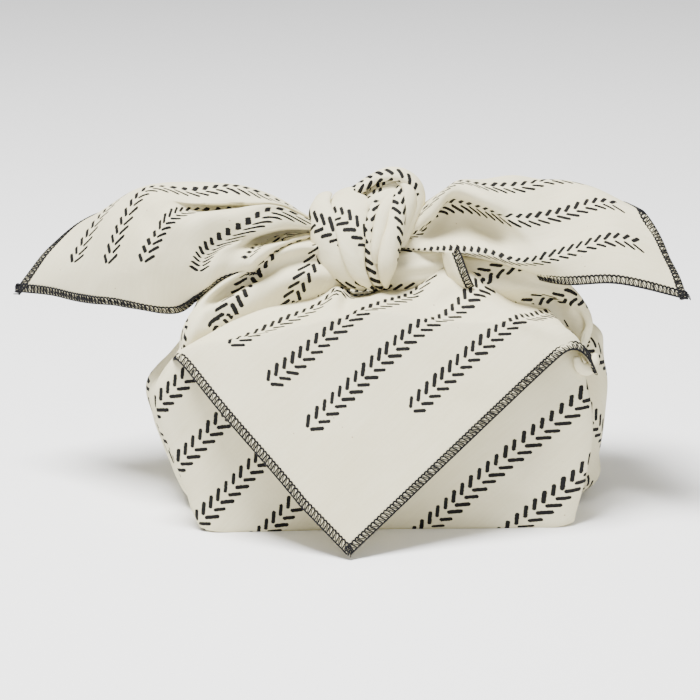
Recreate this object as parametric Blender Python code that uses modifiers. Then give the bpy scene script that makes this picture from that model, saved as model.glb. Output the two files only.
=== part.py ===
"""Furoshiki wrap: one square cotton cloth folded round a box-shaped load and tied on top.

The cloth is a single piece, so it is a single solid. Its forms are built one by one (the
wrapped sides, the two gathered arms, the pointed front flap, the strands of the knot and
the two spread ends) and are then joined into the one node.

Frame: the origin is the centre of the base, +X runs to the viewer's right along the
spread ends, +Y runs away from the front flap and +Z is up. Tables are in millimetres.
"""

import math
from collections import namedtuple

import bmesh
import bpy
import numpy as np

MM = 0.001

NODE = "furoshiki_cloth"
CLOTH_THICKNESS = 1.8 * MM
FLAP_THICKNESS = 2.2 * MM

# Colour, roughness and metallic value of the printed cotton.
COTTON = ((0.86, 0.84, 0.77, 1.0), 0.9, 0.0)

# Grid steps between two rows and between two columns of a section table.
BODY_STEPS = (2, 2)
ARM_STEPS = (2, 2)
KNOT_STEPS = (2, 2)
EAR_STEPS = (2, 2)
FLAP_ROWS = 16
FLAP_COLUMNS = 20

# Wrapped sides. A row is a level section: where the folded front corners stand, the soft
# valley behind each, the bulging sides, the back corners and the front and back faces.
Level = namedtuple(
    "Level",
    "z front_left front_right valley_left valley_right bulge_left bulge_right"
    " back_left back_right front back",
)
LEVELS = (
    Level(0, -78, 83, -77, 82, -80, 86, -76, 78, -62, 53),
    Level(5, -83, 87, -79, 85, -88, 98, -82, 86, -62, 57),
    Level(20, -88, 91, -82, 89, -95, 101, -86, 90, -60, 59),
    Level(38, -95, 94, -86, 88, -102, 104, -88, 92, -58, 59),
    Level(55, -101, 92, -88, 86, -105, 104, -88, 91, -57, 58),
    Level(68, -100, 90, -89, 86, -103, 101, -86, 89, -56, 56),
    Level(80, -90, 86, -84, 82, -92, 93, -80, 82, -54, 52),
    Level(89, -82, 79, -78, 75, -80, 80, -70, 72, -52, 46),
    Level(95, -66, 64, -62, 60, -64, 62, -56, 56, -46, 38),
    Level(99, -44, 44, -40, 40, -42, 42, -38, 38, -38, 26),
)

# Gathered arms, from the side of the bundle to the knot. A row is a ring across the arm,
# with a point on each roll and in each crease between two rolls.
Ring = namedtuple(
    "Ring",
    "low_front front_roll crease_two middle_roll crease_one crown back_roll low_back"
    " inside_back inside_front",
)
LEFT_ARM = (
    Ring(
        (-80, -42, 52), (-83, -38, 53), (-81, -32, 54), (-86, -24, 54), (-87, -16, 54),
        (-95, 2, 53), (-82, 28, 52), (-76, 40, 50), (-66, 30, 48), (-66, -30, 48),
    ),
    Ring(
        (-89, -50, 83), (-93, -48, 86), (-92, -42, 88), (-95, -36, 88), (-93, -30, 91),
        (-92, -4, 97), (-88, 32, 91), (-82, 46, 82), (-70, 36, 74), (-70, -38, 74),
    ),
    Ring(
        (-79, -50, 91), (-80, -50, 96), (-79, -44, 99), (-81, -38, 103), (-79, -30, 104),
        (-76, -6, 110), (-75, 26, 104), (-72, 42, 92), (-64, 32, 80), (-64, -36, 80),
    ),
    Ring(
        (-58, -46, 95), (-59, -46, 102), (-58, -37, 105), (-60, -34, 110), (-60, -26, 111),
        (-58, -4, 118), (-57, 22, 112), (-56, 36, 96), (-52, 26, 83), (-52, -34, 83),
    ),
    Ring(
        (-32, -34, 99), (-34, -36, 108), (-36, -26, 113), (-38, -24, 118), (-38, -17, 120),
        (-37, -2, 124), (-36, 14, 118), (-34, 24, 100), (-32, 16, 86), (-32, -24, 86),
    ),
    Ring(
        (-12, -16, 102), (-12, -16, 107), (-12, -12, 111), (-12, -12, 114), (-12, -8, 116),
        (-12, 0, 118), (-12, 8, 114), (-12, 12, 104), (-12, 9, 98), (-12, -10, 98),
    ),
)
RIGHT_ARM = (
    Ring(
        (79, -42, 50), (81, -38, 51), (80, -31, 52), (85, -24, 52), (86, -16, 52),
        (95, 2, 51), (84, 30, 50), (76, 42, 48), (68, 32, 46), (68, -30, 46),
    ),
    Ring(
        (88, -47, 84), (91, -44, 86), (91, -38, 88), (93, -32, 87), (92, -24, 89),
        (95, -2, 88), (91, 30, 84), (85, 44, 78), (74, 36, 70), (74, -36, 70),
    ),
    Ring(
        (73, -49, 100), (74, -48, 104), (73, -42, 105), (75, -37, 108), (74, -29, 107),
        (75, -6, 107), (75, 26, 101), (72, 40, 90), (64, 32, 80), (64, -36, 80),
    ),
    Ring(
        (50, -38, 101), (50, -40, 107), (50, -34, 110), (51, -31, 114), (50, -24, 114),
        (50, -6, 116), (51, 22, 109), (50, 35, 94), (48, 26, 84), (46, -32, 84),
    ),
    Ring(
        (27, -33, 101), (27, -34, 108), (27, -29, 112), (28, -26, 116), (27, -20, 117),
        (27, -4, 119), (28, 14, 113), (28, 25, 98), (27, 18, 87), (26, -24, 87),
    ),
    Ring(
        (2, -20, 101), (2, -20, 106), (2, -17, 110), (2, -15, 113), (2, -10, 115),
        (2, 0, 117), (2, 8, 113), (2, 12, 104), (2, 9, 98), (2, -12, 98),
    ),
)

# Front flap. It comes over the top from the back, turns down over the front edge and
# leans out to its point. The table gives the height of its turn along the front edge.
FLAP_TIP = (-17, -102, 0.3)
FLAP_TURN = 2.2
FLAP_FRONT = -58
FLAP_TOP_DEPTH = 34
FLAP_EDGE_RADIUS = 9
FLAP_CORNER = 84
FLAP_LEFT = -93
FLAP_RIGHT = 92
FLAP_FIRST_ROW = 0.8
# Share of its width that the flap has drawn in where it goes under the arms.
FLAP_TUCK = 0.22
Crest = namedtuple("Crest", "x height")
FLAP_CREST = (
    Crest(-105, 77), Crest(-92, 83), Crest(-78, 89), Crest(-58, 95), Crest(-38, 98),
    Crest(-21, 102), Crest(-6, 98.5), Crest(14, 97.5), Crest(36, 100), Crest(58, 96),
    Crest(76, 91), Crest(92, 82), Crest(105, 75),
)

# Knot. The band that crosses the front in three pleats, from the top to the underside.
Pleats = namedtuple(
    "Pleats",
    "left_tuck left_roll pleat_one middle_roll pleat_two right_roll right_tuck"
    " inside_right inside_left",
)
BAND = (
    Pleats(
        (-26, 1, 135), (-24, 0, 138), (-20, 0, 139), (-15, 2, 142), (-11, 2, 142),
        (-8, 2, 144), (-4, 3, 142), (-8, 3, 134), (-20, 2, 131),
    ),
    Pleats(
        (-31, -10, 133), (-28, -14, 136), (-24, -14, 138), (-18, -16, 140), (-13, -15, 141),
        (-9, -15, 142), (-5, -11, 141), (-8, -4, 133), (-22, -3, 130),
    ),
    Pleats(
        (-31, -12, 126), (-28, -20, 128), (-22, -19, 130), (-17, -23, 131), (-12, -21, 131),
        (-9, -23, 132), (-6, -16, 133), (-8, -6, 127), (-22, -5, 124),
    ),
    Pleats(
        (-29, -13, 118), (-26, -23, 120), (-20, -22, 121), (-15, -26, 121), (-11, -24, 122),
        (-9, -25, 123), (-6, -18, 123), (-8, -8, 119), (-20, -7, 117),
    ),
    Pleats(
        (-22, -14, 110), (-20, -24, 112), (-17, -23, 112), (-13, -27, 112), (-10, -25, 113),
        (-8, -26, 114), (-5, -18, 114), (-7, -9, 112), (-16, -8, 110),
    ),
    Pleats(
        (-14, -14, 102), (-14, -22, 104), (-12, -22, 105), (-10, -25, 106), (-8, -24, 106),
        (-6, -24, 107), (-3, -17, 107), (-5, -9, 107), (-11, -8, 106),
    ),
)

# Free strands of the knot. A row is a point on a strand's centre line and its radius.
Strand = namedtuple("Strand", "x y z radius")
SMOOTH_ROLL = (
    Strand(0, -9, 141, 3.5), Strand(-1, -19, 129, 4.2), Strand(-3, -22, 118, 4.6),
    Strand(-5, -22, 109, 4.2), Strand(-5, -18, 101, 3.0),
)
PRINTED_ROLL = (
    Strand(6, -5, 144, 4.0), Strand(6, -16, 132, 4.8), Strand(5, -20, 121, 5.2),
    Strand(2, -21, 112, 5.5), Strand(0, -20, 104, 4.6), Strand(-1, -15, 99, 3.0),
)
LOOP = (
    Strand(6, -10, 112, 4.0), Strand(11, -13, 120, 4.4), Strand(14, -10, 129, 4.6),
    Strand(15.5, -6, 137, 4.6), Strand(13, -3, 143.5, 4.2), Strand(8, -1, 147.5, 3.8),
    Strand(2, 0, 149, 3.6), Strand(-4, 1, 147.5, 3.4), Strand(-10, 3, 143, 3.4),
    Strand(-16, 5, 136, 3.8), Strand(-18, 5, 128, 4.0),
)
BACK_BAND = (
    Strand(-24, 4, 110, 8.0), Strand(-14, 12, 114, 9.5), Strand(0, 14, 119, 9.5),
    Strand(13, 6, 126, 8.0),
)
KNOT_CORE = ((-9, -1, 118), (21, 17, 21))
LOOP_FILLING = ((0, 1, 139), (11, 5, 8))

# Spread ends. A row is a line of the cloth at a set distance from the point's hem; it runs
# from the other hem, over the ridge of the fold, and into the knot.
Line = namedtuple("Line", "hem lower middle upper ridge behind root")
LEFT_END = (
    Line(
        (-168, 30, 89), (-156, 28, 106), (-147, 30, 116), (-120, 42, 118), (-88, 42, 112),
        (-52, 26, 112), (-18, 9, 112),
    ),
    Line(
        (-149, 16, 90), (-139, 8, 107), (-129, 8, 124), (-120, 15, 135), (-92, 26, 134),
        (-54, 20, 124), (-18, 9, 119),
    ),
    Line(
        (-130, -4, 91), (-122, -12, 111), (-115, -11, 129), (-106, -4, 143), (-82, -2, 146),
        (-50, 2, 135), (-18, 4, 126),
    ),
    Line(
        (-119, -12, 92), (-114, -20, 112), (-107, -21, 130), (-99, -17, 141), (-76, -17, 141),
        (-50, -13, 137), (-18, -4, 128),
    ),
    Line(
        (-96, -24, 91), (-94, -31, 112), (-90, -31, 126), (-80, -26, 134), (-64, -18, 137),
        (-46, -14, 135), (-18, -8, 123),
    ),
    Line(
        (-86, -25, 93), (-81, -31, 108), (-77, -30, 119), (-71, -26, 124), (-56, -21, 130),
        (-42, -17, 131), (-18, -10, 118),
    ),
    Line(
        (-63, -27, 110), (-59, -30, 114), (-55, -29, 118), (-51, -25, 122), (-44, -20, 124),
        (-36, -15, 125), (-18, -9, 113),
    ),
)
RIGHT_END = (
    Line(
        (135, -50, 102), (117, -50, 108), (91, -50, 108), (74, -38, 108), (52, -28, 112),
        (28, -16, 113), (2, -8, 110),
    ),
    Line(
        (130, -31, 116), (112, -31, 124), (91, -31, 125), (70, -33, 124), (48, -28, 119),
        (28, -20, 117), (2, -10, 116),
    ),
    Line(
        (122, -14, 131), (104, -7, 137), (85, -8, 134), (66, -12, 134), (46, -19, 135),
        (28, -19, 128), (2, -8, 123),
    ),
    Line(
        (116, 6, 133), (101, 12, 140), (82, 10, 144), (62, -2, 144), (42, -7, 143),
        (24, -7, 135), (2, -2, 128),
    ),
    Line(
        (108, 26, 118), (94, 28, 126), (74, 26, 132), (56, 16, 138), (38, 8, 139),
        (22, 5, 133), (2, 4, 126),
    ),
    Line(
        (92, 42, 106), (80, 40, 113), (64, 34, 120), (48, 24, 126), (34, 16, 128),
        (20, 11, 124), (2, 7, 119),
    ),
)


def clear_scene():
    """Remove every object of the startup scene."""
    for thing in list(bpy.data.objects):
        bpy.data.objects.remove(thing)


def new_collection(name):
    made = bpy.data.collections.new(name)
    bpy.context.scene.collection.children.link(made)
    return made


def cotton_material():
    """Plain Principled cotton."""
    colour, roughness, metallic = COTTON
    material = bpy.data.materials.new("printed_cotton")
    material.use_nodes = True
    shader = material.node_tree.nodes["Principled BSDF"]
    shader.inputs["Base Color"].default_value = colour
    shader.inputs["Roughness"].default_value = roughness
    shader.inputs["Metallic"].default_value = metallic
    return material


def eased(values, steps, closed=False):
    """A smooth curve through rows of values, with the given number of steps between two."""
    values = np.asarray(values, float)
    count = len(values)
    if closed:
        before, after = np.roll(values, 1, axis=0), np.roll(values, -1, axis=0)
        spans = count
    else:
        before = np.concatenate([[2 * values[0] - values[1]], values[:-1]])
        after = np.concatenate([values[1:], [2 * values[-1] - values[-2]]])
        spans = count - 1
    slope = (after - before) / 2
    rows = []
    for i in range(spans):
        j = (i + 1) % count
        for t in np.arange(steps) / steps:
            rows.append(
                (2 * t**3 - 3 * t**2 + 1) * values[i]
                + (t**3 - 2 * t**2 + t) * slope[i]
                + (3 * t**2 - 2 * t**3) * values[j]
                + (t**3 - t**2) * slope[j]
            )
    if not closed:
        rows.append(values[-1])
    return np.array(rows)


def smooth_grid(table, steps, ringed):
    """The points of a section table, smoothed along its rows and across them."""
    rows_steps, column_steps = steps
    across = np.array([eased(row, column_steps, closed=ringed) for row in table])
    return eased(across, rows_steps)


def grid_mesh(name, grid, ringed):
    """A mesh over a grid of points in millimetres, capped at its ends where it is a ring."""
    rows, columns = grid.shape[:2]
    shape = bmesh.new()
    points = [[shape.verts.new(point * MM) for point in row] for row in grid]
    for i in range(rows - 1):
        for j in range(columns if ringed else columns - 1):
            k = (j + 1) % columns
            shape.faces.new((points[i][j], points[i][k], points[i + 1][k], points[i + 1][j]))
    if ringed:
        shape.faces.new(reversed(points[0]))
        shape.faces.new(points[-1])
    bmesh.ops.recalc_face_normals(shape, faces=shape.faces)
    mesh = bpy.data.meshes.new(name)
    shape.to_mesh(mesh)
    shape.free()
    return mesh


def place(name, mesh, collection):
    made = bpy.data.objects.new(name, mesh)
    collection.objects.link(made)
    return made


def baked(source, name, collection):
    """A plain mesh object in place of one that has modifiers or is a curve."""
    graph = bpy.context.evaluated_depsgraph_get()
    mesh = bpy.data.meshes.new_from_object(source.evaluated_get(graph))
    shape = bmesh.new()
    shape.from_mesh(mesh)
    bmesh.ops.remove_doubles(shape, verts=shape.verts, dist=0.01 * MM)
    bmesh.ops.recalc_face_normals(shape, faces=shape.faces)
    shape.to_mesh(mesh)
    shape.free()
    made = place(name, mesh, collection)
    made.matrix_world = source.matrix_world.copy()
    bpy.data.objects.remove(source)
    return made


def wrapped_sides(collection):
    """The cloth over the load: flat base, folded front corners and bulging sides."""
    table = []
    for level in LEVELS:
        depth = level.back - level.front
        middle = level.front + depth / 2
        plan = (
            (level.front_left, level.front + 3),
            (level.front_left * 0.86, level.front),
            (level.front_left * 0.3, level.front),
            (level.front_right * 0.3, level.front),
            (level.front_right * 0.86, level.front),
            (level.front_right, level.front + 3),
            (level.valley_right, level.front + 0.16 * depth),
            (level.bulge_right, middle - 0.15 * depth),
            (level.bulge_right, middle + 0.06 * depth),
            (level.back_right - 2, level.back - 0.24 * depth),
            (level.back_right + 2, level.back - 0.1 * depth),
            (level.back_right * 0.82, level.back),
            (0, level.back),
            (level.back_left * 0.82, level.back),
            (level.back_left - 2, level.back - 0.1 * depth),
            (level.back_left + 2, level.back - 0.24 * depth),
            (level.bulge_left, middle + 0.06 * depth),
            (level.bulge_left, middle - 0.15 * depth),
            (level.valley_left, level.front + 0.16 * depth),
        )
        table.append([(x, y, level.z) for x, y in plan])
    grid = smooth_grid(table, BODY_STEPS, ringed=True)
    return place("sides", grid_mesh("sides", grid, ringed=True), collection)


def ring_form(name, table, steps, collection):
    grid = smooth_grid(table, steps, ringed=True)
    return place(name, grid_mesh(name, grid, ringed=True), collection)


def sheet_form(name, grid, thickness, collection):
    """A closed sheet of the given thickness over an open grid."""
    sheet = place(name + "_face", grid_mesh(name, grid, ringed=False), collection)
    wall = sheet.modifiers.new("thickness", "SOLIDIFY")
    wall.thickness = thickness
    wall.offset = 0
    bpy.context.view_layer.update()
    return baked(sheet, name, collection)


def crest_curve():
    """The line of the flap's turn over the front edge, as places along it and heights."""
    rows = eased(FLAP_CREST, 8)
    return rows[:, 0], rows[:, 1]


def flap_point(across, up, crest):
    """A point of the flap from its distances across and up from the point of the cloth."""
    turn = math.radians(FLAP_TURN)
    x = FLAP_TIP[0] + across * math.cos(turn) + up * math.sin(turn)
    rise = up * math.cos(turn) - across * math.sin(turn)
    height = np.interp(x, *crest)
    run = FLAP_FRONT - FLAP_TIP[1]
    lean = math.hypot(height - FLAP_TIP[2], run)
    fall = min(rise - lean, 0)
    over = max(rise - lean, 0)
    rounding = FLAP_EDGE_RADIUS * 0.5 * math.exp(-(over - fall) / FLAP_EDGE_RADIUS)
    wrap = 0.6 * max(0, abs(x) - FLAP_CORNER)
    x *= 1 - FLAP_TUCK * over / FLAP_TOP_DEPTH
    y = FLAP_FRONT + fall * run / lean + over + wrap
    z = height + fall * (height - FLAP_TIP[2]) / lean - rounding
    return x, y, z


def front_flap(collection):
    """The pointed corner that covers the front."""
    turn = math.radians(FLAP_TURN)
    crest = crest_curve()
    reach = max(row.height for row in FLAP_CREST) + FLAP_TOP_DEPTH
    rows = []
    for up in np.linspace(FLAP_FIRST_ROW, reach, FLAP_ROWS + 1):
        middle = FLAP_TIP[0] + up * math.sin(turn)
        left = max(-up, FLAP_LEFT - middle)
        right = min(up, FLAP_RIGHT - middle)
        places = np.linspace(left, right, FLAP_COLUMNS + 1)
        rows.append([flap_point(across, up, crest) for across in places])
    return sheet_form("flap", np.array(rows), FLAP_THICKNESS, collection)


def strand(name, table, collection):
    """A rolled strand of cloth: a tube whose radius changes along its length."""
    curve = bpy.data.curves.new(name, "CURVE")
    curve.dimensions = "3D"
    curve.bevel_depth = MM
    curve.bevel_resolution = 2
    curve.use_fill_caps = True
    points = eased(table, 2)
    line = curve.splines.new("POLY")
    line.points.add(len(points) - 1)
    for point, (x, y, z, radius) in zip(line.points, points):
        point.co = (x * MM, y * MM, z * MM, 1)
        point.radius = radius
    tube = place(name + "_line", curve, collection)
    bpy.context.view_layer.update()
    return baked(tube, name, collection)


def lump(name, shape, collection):
    """A rounded lump of gathered cloth."""
    centre, radii = shape
    mesh = bpy.data.meshes.new(name)
    ball = bmesh.new()
    bmesh.ops.create_uvsphere(ball, u_segments=14, v_segments=9, radius=1)
    bmesh.ops.scale(ball, verts=ball.verts, vec=[radius * MM for radius in radii])
    bmesh.ops.translate(ball, verts=ball.verts, vec=[value * MM for value in centre])
    ball.to_mesh(mesh)
    ball.free()
    return place(name, mesh, collection)


def spread_end(name, table, collection):
    """One free end of the cloth, folded over its ridge and gathered into the knot."""
    grid = smooth_grid(table, EAR_STEPS, ringed=False)
    return sheet_form(name, grid, CLOTH_THICKNESS, collection)


def join_forms(node, forms):
    """Join every form to the node with a Boolean union each."""
    for form in forms:
        form.hide_render = True
        form.display_type = "WIRE"
        union = node.modifiers.new("join_" + form.name, "BOOLEAN")
        union.operation = "UNION"
        union.solver = "MANIFOLD"
        union.object = form


def main():
    clear_scene()
    wrap = new_collection("furoshiki_wrap")
    helpers = new_collection("joined_forms")
    node = wrapped_sides(wrap)
    node.name = NODE
    node.data.name = NODE
    node.data.materials.append(cotton_material())
    forms = [
        ring_form("left_arm", LEFT_ARM, ARM_STEPS, helpers),
        ring_form("right_arm", RIGHT_ARM, ARM_STEPS, helpers),
        front_flap(helpers),
        lump("knot_core", KNOT_CORE, helpers),
        lump("loop_filling", LOOP_FILLING, helpers),
        ring_form("band", BAND, KNOT_STEPS, helpers),
        strand("smooth_roll", SMOOTH_ROLL, helpers),
        strand("printed_roll", PRINTED_ROLL, helpers),
        strand("loop", LOOP, helpers),
        strand("back_band", BACK_BAND, helpers),
        spread_end("left_end", LEFT_END, helpers),
        spread_end("right_end", RIGHT_END, helpers),
    ]
    join_forms(node, forms)


main()
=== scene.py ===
"""Furoshiki wrap: one square cotton cloth folded round a box-shaped load and tied on top.

The cloth is built from the parts of it that show: the wrapped sides, the pointed front
flap, the two gathered arms, the strands of the knot and the two spread ends. Each part
is a sheet of points that carries its place on the flat cloth, so that the printed rows,
which are worked out on the flat cloth, run on through every fold.

Tables are in millimetres, in the frame of the CAD model: +X to the right along the
spread ends, +Y away from the front flap, +Z up.
"""

import logging
import math
from collections.abc import Sequence
from dataclasses import dataclass
from enum import Enum
from typing import Any, NamedTuple

import bmesh
import bpy
import numpy as np
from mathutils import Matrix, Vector


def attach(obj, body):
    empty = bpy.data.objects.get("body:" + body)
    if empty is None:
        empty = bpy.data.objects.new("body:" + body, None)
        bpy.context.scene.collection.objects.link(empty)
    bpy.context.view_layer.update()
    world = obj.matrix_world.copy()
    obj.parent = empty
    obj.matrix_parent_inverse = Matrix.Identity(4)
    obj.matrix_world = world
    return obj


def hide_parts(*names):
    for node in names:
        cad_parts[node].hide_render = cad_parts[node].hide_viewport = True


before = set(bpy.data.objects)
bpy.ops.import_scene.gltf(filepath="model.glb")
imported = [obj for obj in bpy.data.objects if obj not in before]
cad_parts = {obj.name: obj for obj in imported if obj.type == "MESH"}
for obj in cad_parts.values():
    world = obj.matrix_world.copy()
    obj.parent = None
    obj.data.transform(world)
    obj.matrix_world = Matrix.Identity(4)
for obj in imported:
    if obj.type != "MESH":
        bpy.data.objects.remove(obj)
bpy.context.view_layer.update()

LOG = logging.getLogger("furoshiki_wrap")
MM = 0.001
NODE = "furoshiki_cloth"
ROOT = "root"
CLOTH_UV = "cloth"

# Step between two points of a sheet, the cloth's thickness, how near two points count as one, and
# the least length that is divided by.
GRID_STEP = 1.6
THICKNESS = 0.55
WELD = 0.01
TINY = 1e-9

# How a crease is pressed: how soon it fades where the cloth turns away, the points of its curve,
# how its ends taper, and how much of it comes up again as lips beside it.
CREASE_FACING = 2.2
CREASE_POINTS = 15
CREASE_TAPER = 0.75
CREASE_LIP = 0.7

# The size of the table that the noise of the rumples is read from.
NOISE_CELLS = 64

Point = tuple[float, float, float]
Place = tuple[float, float]

# The points of a hem, the directions from them into the cloth and the directions that they face.
HemLine = tuple[np.ndarray, np.ndarray, np.ndarray]


@dataclass(frozen=True)
class Sight:
    """The usual place to look from, and the plane through its target that folds are drawn on."""

    target: Point = (-14.5, -56.0, 81.5)
    azimuth: float = -2.4
    elevation: float = 15.0
    distance: float = 1150.0

    @property
    def back(self) -> np.ndarray:
        """The direction from the target to the eye."""
        turn, rise = math.radians(self.azimuth), math.radians(self.elevation)
        return np.array([math.sin(turn) * math.cos(rise), -math.cos(turn) * math.cos(rise), math.sin(rise)])

    def drawn(self, points: np.ndarray) -> np.ndarray:
        """Where points are seen.

        Args:
            points: The points.

        Returns:
            Their places on the plane, right and up from the target.
        """
        turn = math.radians(self.azimuth)
        right = np.array([math.cos(turn), math.sin(turn), 0.0])
        up = np.cross(self.back, right)
        off = points - np.array(self.target)
        scale = self.distance / (self.distance - off @ self.back)
        return np.stack([off @ right * scale, off @ up * scale], axis=-1)


SIGHT = Sight()


class Side(Enum):
    """A direction that a fold is seen from, and the axes of the view."""

    FRONT = ((0, -1, 0), (0, 2))
    BACK = ((0, 1, 0), (0, 2))
    LEFT = ((-1, 0, 0), (1, 2))
    RIGHT = ((1, 0, 0), (1, 2))
    TOP = ((0, 0, 1), (0, 1))
    SEEN = (tuple(SIGHT.back), None)

    @property
    def normal(self) -> np.ndarray:
        """The direction that points at the viewer."""
        return np.array(self.value[0], float)

    def drawn(self, points: np.ndarray) -> np.ndarray:
        """Places in the view: on its two axes, or as seen from the usual place."""
        axes = self.value[1]
        return SIGHT.drawn(points) if axes is None else points[..., list(axes)]


class Edge(Enum):
    """An edge of a sheet of points."""

    FIRST_ROW = "first row"
    FIRST_COLUMN = "first column"
    LAST_COLUMN = "last column"


class Crease(NamedTuple):
    """A soft trough, or a ridge where its depth is negative, drawn on one side.

    It runs from start through middle to end and is deepest at the share peak of its way.
    """

    side: Side
    start: Place
    middle: Place
    end: Place
    width: float
    depth: float
    peak: float = 0.5

    def line(self) -> np.ndarray:
        """Draw the crease.

        Returns:
            The points of a curve that starts, passes and ends where it does.
        """
        share = np.linspace(0, 1, CREASE_POINTS)[:, None]
        start, middle, end = (np.array(place, float) for place in (self.start, self.middle, self.end))
        pull = 2 * middle - (start + end) / 2
        return start * (1 - share) ** 2 + pull * 2 * share * (1 - share) + end * share**2

    def fall(self, flat: np.ndarray) -> np.ndarray:
        """How far the crease presses each point in.

        Args:
            flat: The points as drawn on the crease's side.

        Returns:
            The depths, less than 0 where points come out.
        """
        line = self.line()
        gap = np.full(flat.shape[:2], np.inf)
        at = np.zeros(flat.shape[:2])
        for i in range(len(line) - 1):
            way = line[i + 1] - line[i]
            t = np.clip(((flat - line[i]) @ way) / max(way @ way, TINY), 0, 1)
            new_gap = np.linalg.norm(flat - line[i] - t[..., None] * way, axis=-1)
            nearer = new_gap < gap
            at = np.where(nearer, (i + t) / (len(line) - 1), at)
            gap = np.where(nearer, new_gap, gap)
        rise = np.where(at < self.peak, at / self.peak, (1 - at) / (1 - self.peak))
        across = (gap / self.width) ** 2
        return self.depth * rise**CREASE_TAPER * (1 - CREASE_LIP * across) * np.exp(-across)


class Rumple(NamedTuple):
    """Slight unevenness of the cloth: its size along and across, its height and its seed."""

    along: float
    across: float
    height: float
    seed: int


@dataclass(frozen=True)
class FlatCloth:
    """The cloth as it was cut and printed, laid flat. Lengths are in millimetres."""

    side: float = 700.0
    row_pitch: float = 25.0
    first_row: float = 27.0
    row_start: float = 25.0
    row_end: float = 18.0
    short_row_skips: float = 8.0
    chevron_pitch: float = 4.75
    dash_angle: float = 40.0
    dash_length: float = 4.3
    dash_radius: float = 0.88
    dash_centre: float = 4.1
    rows: int = 26

    @property
    def half(self) -> float:
        """Half of a side."""
        return self.side / 2

    @property
    def reach(self) -> float:
        """From the middle of the cloth to a corner."""
        return self.side / math.sqrt(2)

    def from_diagonals(self, x: np.ndarray, y: np.ndarray) -> np.ndarray:
        """Places on the cloth from the distances along its two diagonals.

        Args:
            x: Distance from the middle towards the right corner.
            y: Distance from the middle towards the flap's corner.

        Returns:
            The places along and across the printed rows.
        """
        return np.stack([(x - y) / math.sqrt(2), (x + y) / math.sqrt(2)], axis=-1)


CLOTH = FlatCloth()


# --------------------------------------------------------------------------- maths


def spline(knots: np.ndarray, values: np.ndarray, places: np.ndarray) -> np.ndarray:
    """A smooth curve through values at uneven knots.

    Args:
        knots: Rising numbers, one for each value.
        values: The values, with the knots along the first axis.
        places: Where the curve is read.

    Returns:
        The curve's values at those places.
    """
    values, places = np.asarray(values, float), np.asarray(places, float)
    spans = np.diff(knots)
    shape = (-1,) + (1,) * (values.ndim - 1)
    rise = np.diff(values, axis=0) / spans.reshape(shape)
    slope = np.empty_like(values)
    slope[0], slope[-1] = rise[0], rise[-1]
    before, after = spans[:-1].reshape(shape), spans[1:].reshape(shape)
    slope[1:-1] = (rise[:-1] * after + rise[1:] * before) / (before + after)
    i = np.clip(np.searchsorted(knots, places, side="right") - 1, 0, len(spans) - 1)
    read = places.shape + (1,) * (values.ndim - 1)
    t = ((places - knots[i]) / spans[i]).reshape(read)
    step = spans[i].reshape(read)
    return (
        (2 * t**3 - 3 * t**2 + 1) * values[i]
        + (t**3 - 2 * t**2 + t) * step * slope[i]
        + (3 * t**2 - 2 * t**3) * values[i + 1]
        + (t**3 - t**2) * step * slope[i + 1]
    )


def lengths(points: np.ndarray, axis: int) -> np.ndarray:
    """Running distance over a sheet of points.

    Args:
        points: Rows of points.
        axis: 0 to run down the rows, or 1 to run along them.

    Returns:
        The distance at each point, from 0.
    """
    steps = np.linalg.norm(np.diff(points, axis=axis), axis=-1)
    first = np.zeros_like(np.take(steps, [0], axis=axis))
    return np.cumsum(np.concatenate([first, steps], axis=axis), axis=axis)


def evenly(length: float, step: float) -> np.ndarray:
    """Places from 0 to a length, about a step apart."""
    return np.linspace(0, length, max(3, round(length / step) + 1))


def value_noise(u: np.ndarray, v: np.ndarray, seed: int) -> np.ndarray:
    """Smooth noise from -1 to 1 with one cell a unit.

    Args:
        u: First coordinate.
        v: Second coordinate.
        seed: Which noise.

    Returns:
        The noise at each place.
    """
    table = np.random.default_rng(seed).uniform(-1, 1, (NOISE_CELLS, NOISE_CELLS))
    i, j = np.floor(u).astype(int), np.floor(v).astype(int)
    a, b = u - i, v - j
    a, b = a * a * (3 - 2 * a), b * b * (3 - 2 * b)
    i, j, i_next, j_next = (cell % NOISE_CELLS for cell in (i, j, i + 1, j + 1))
    low = table[i, j] * (1 - a) + table[i_next, j] * a
    high = table[i, j_next] * (1 - a) + table[i_next, j_next] * a
    return low * (1 - b) + high * b


def placed(name: str, data: Any) -> bpy.types.Object:
    """Put a new object in the scene.

    Args:
        name: Its name.
        data: Its mesh, camera or lamp.

    Returns:
        The object.
    """
    made = bpy.data.objects.new(name, data)
    bpy.context.scene.collection.objects.link(made)
    return made


# --------------------------------------------------------------------------- node trees


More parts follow.
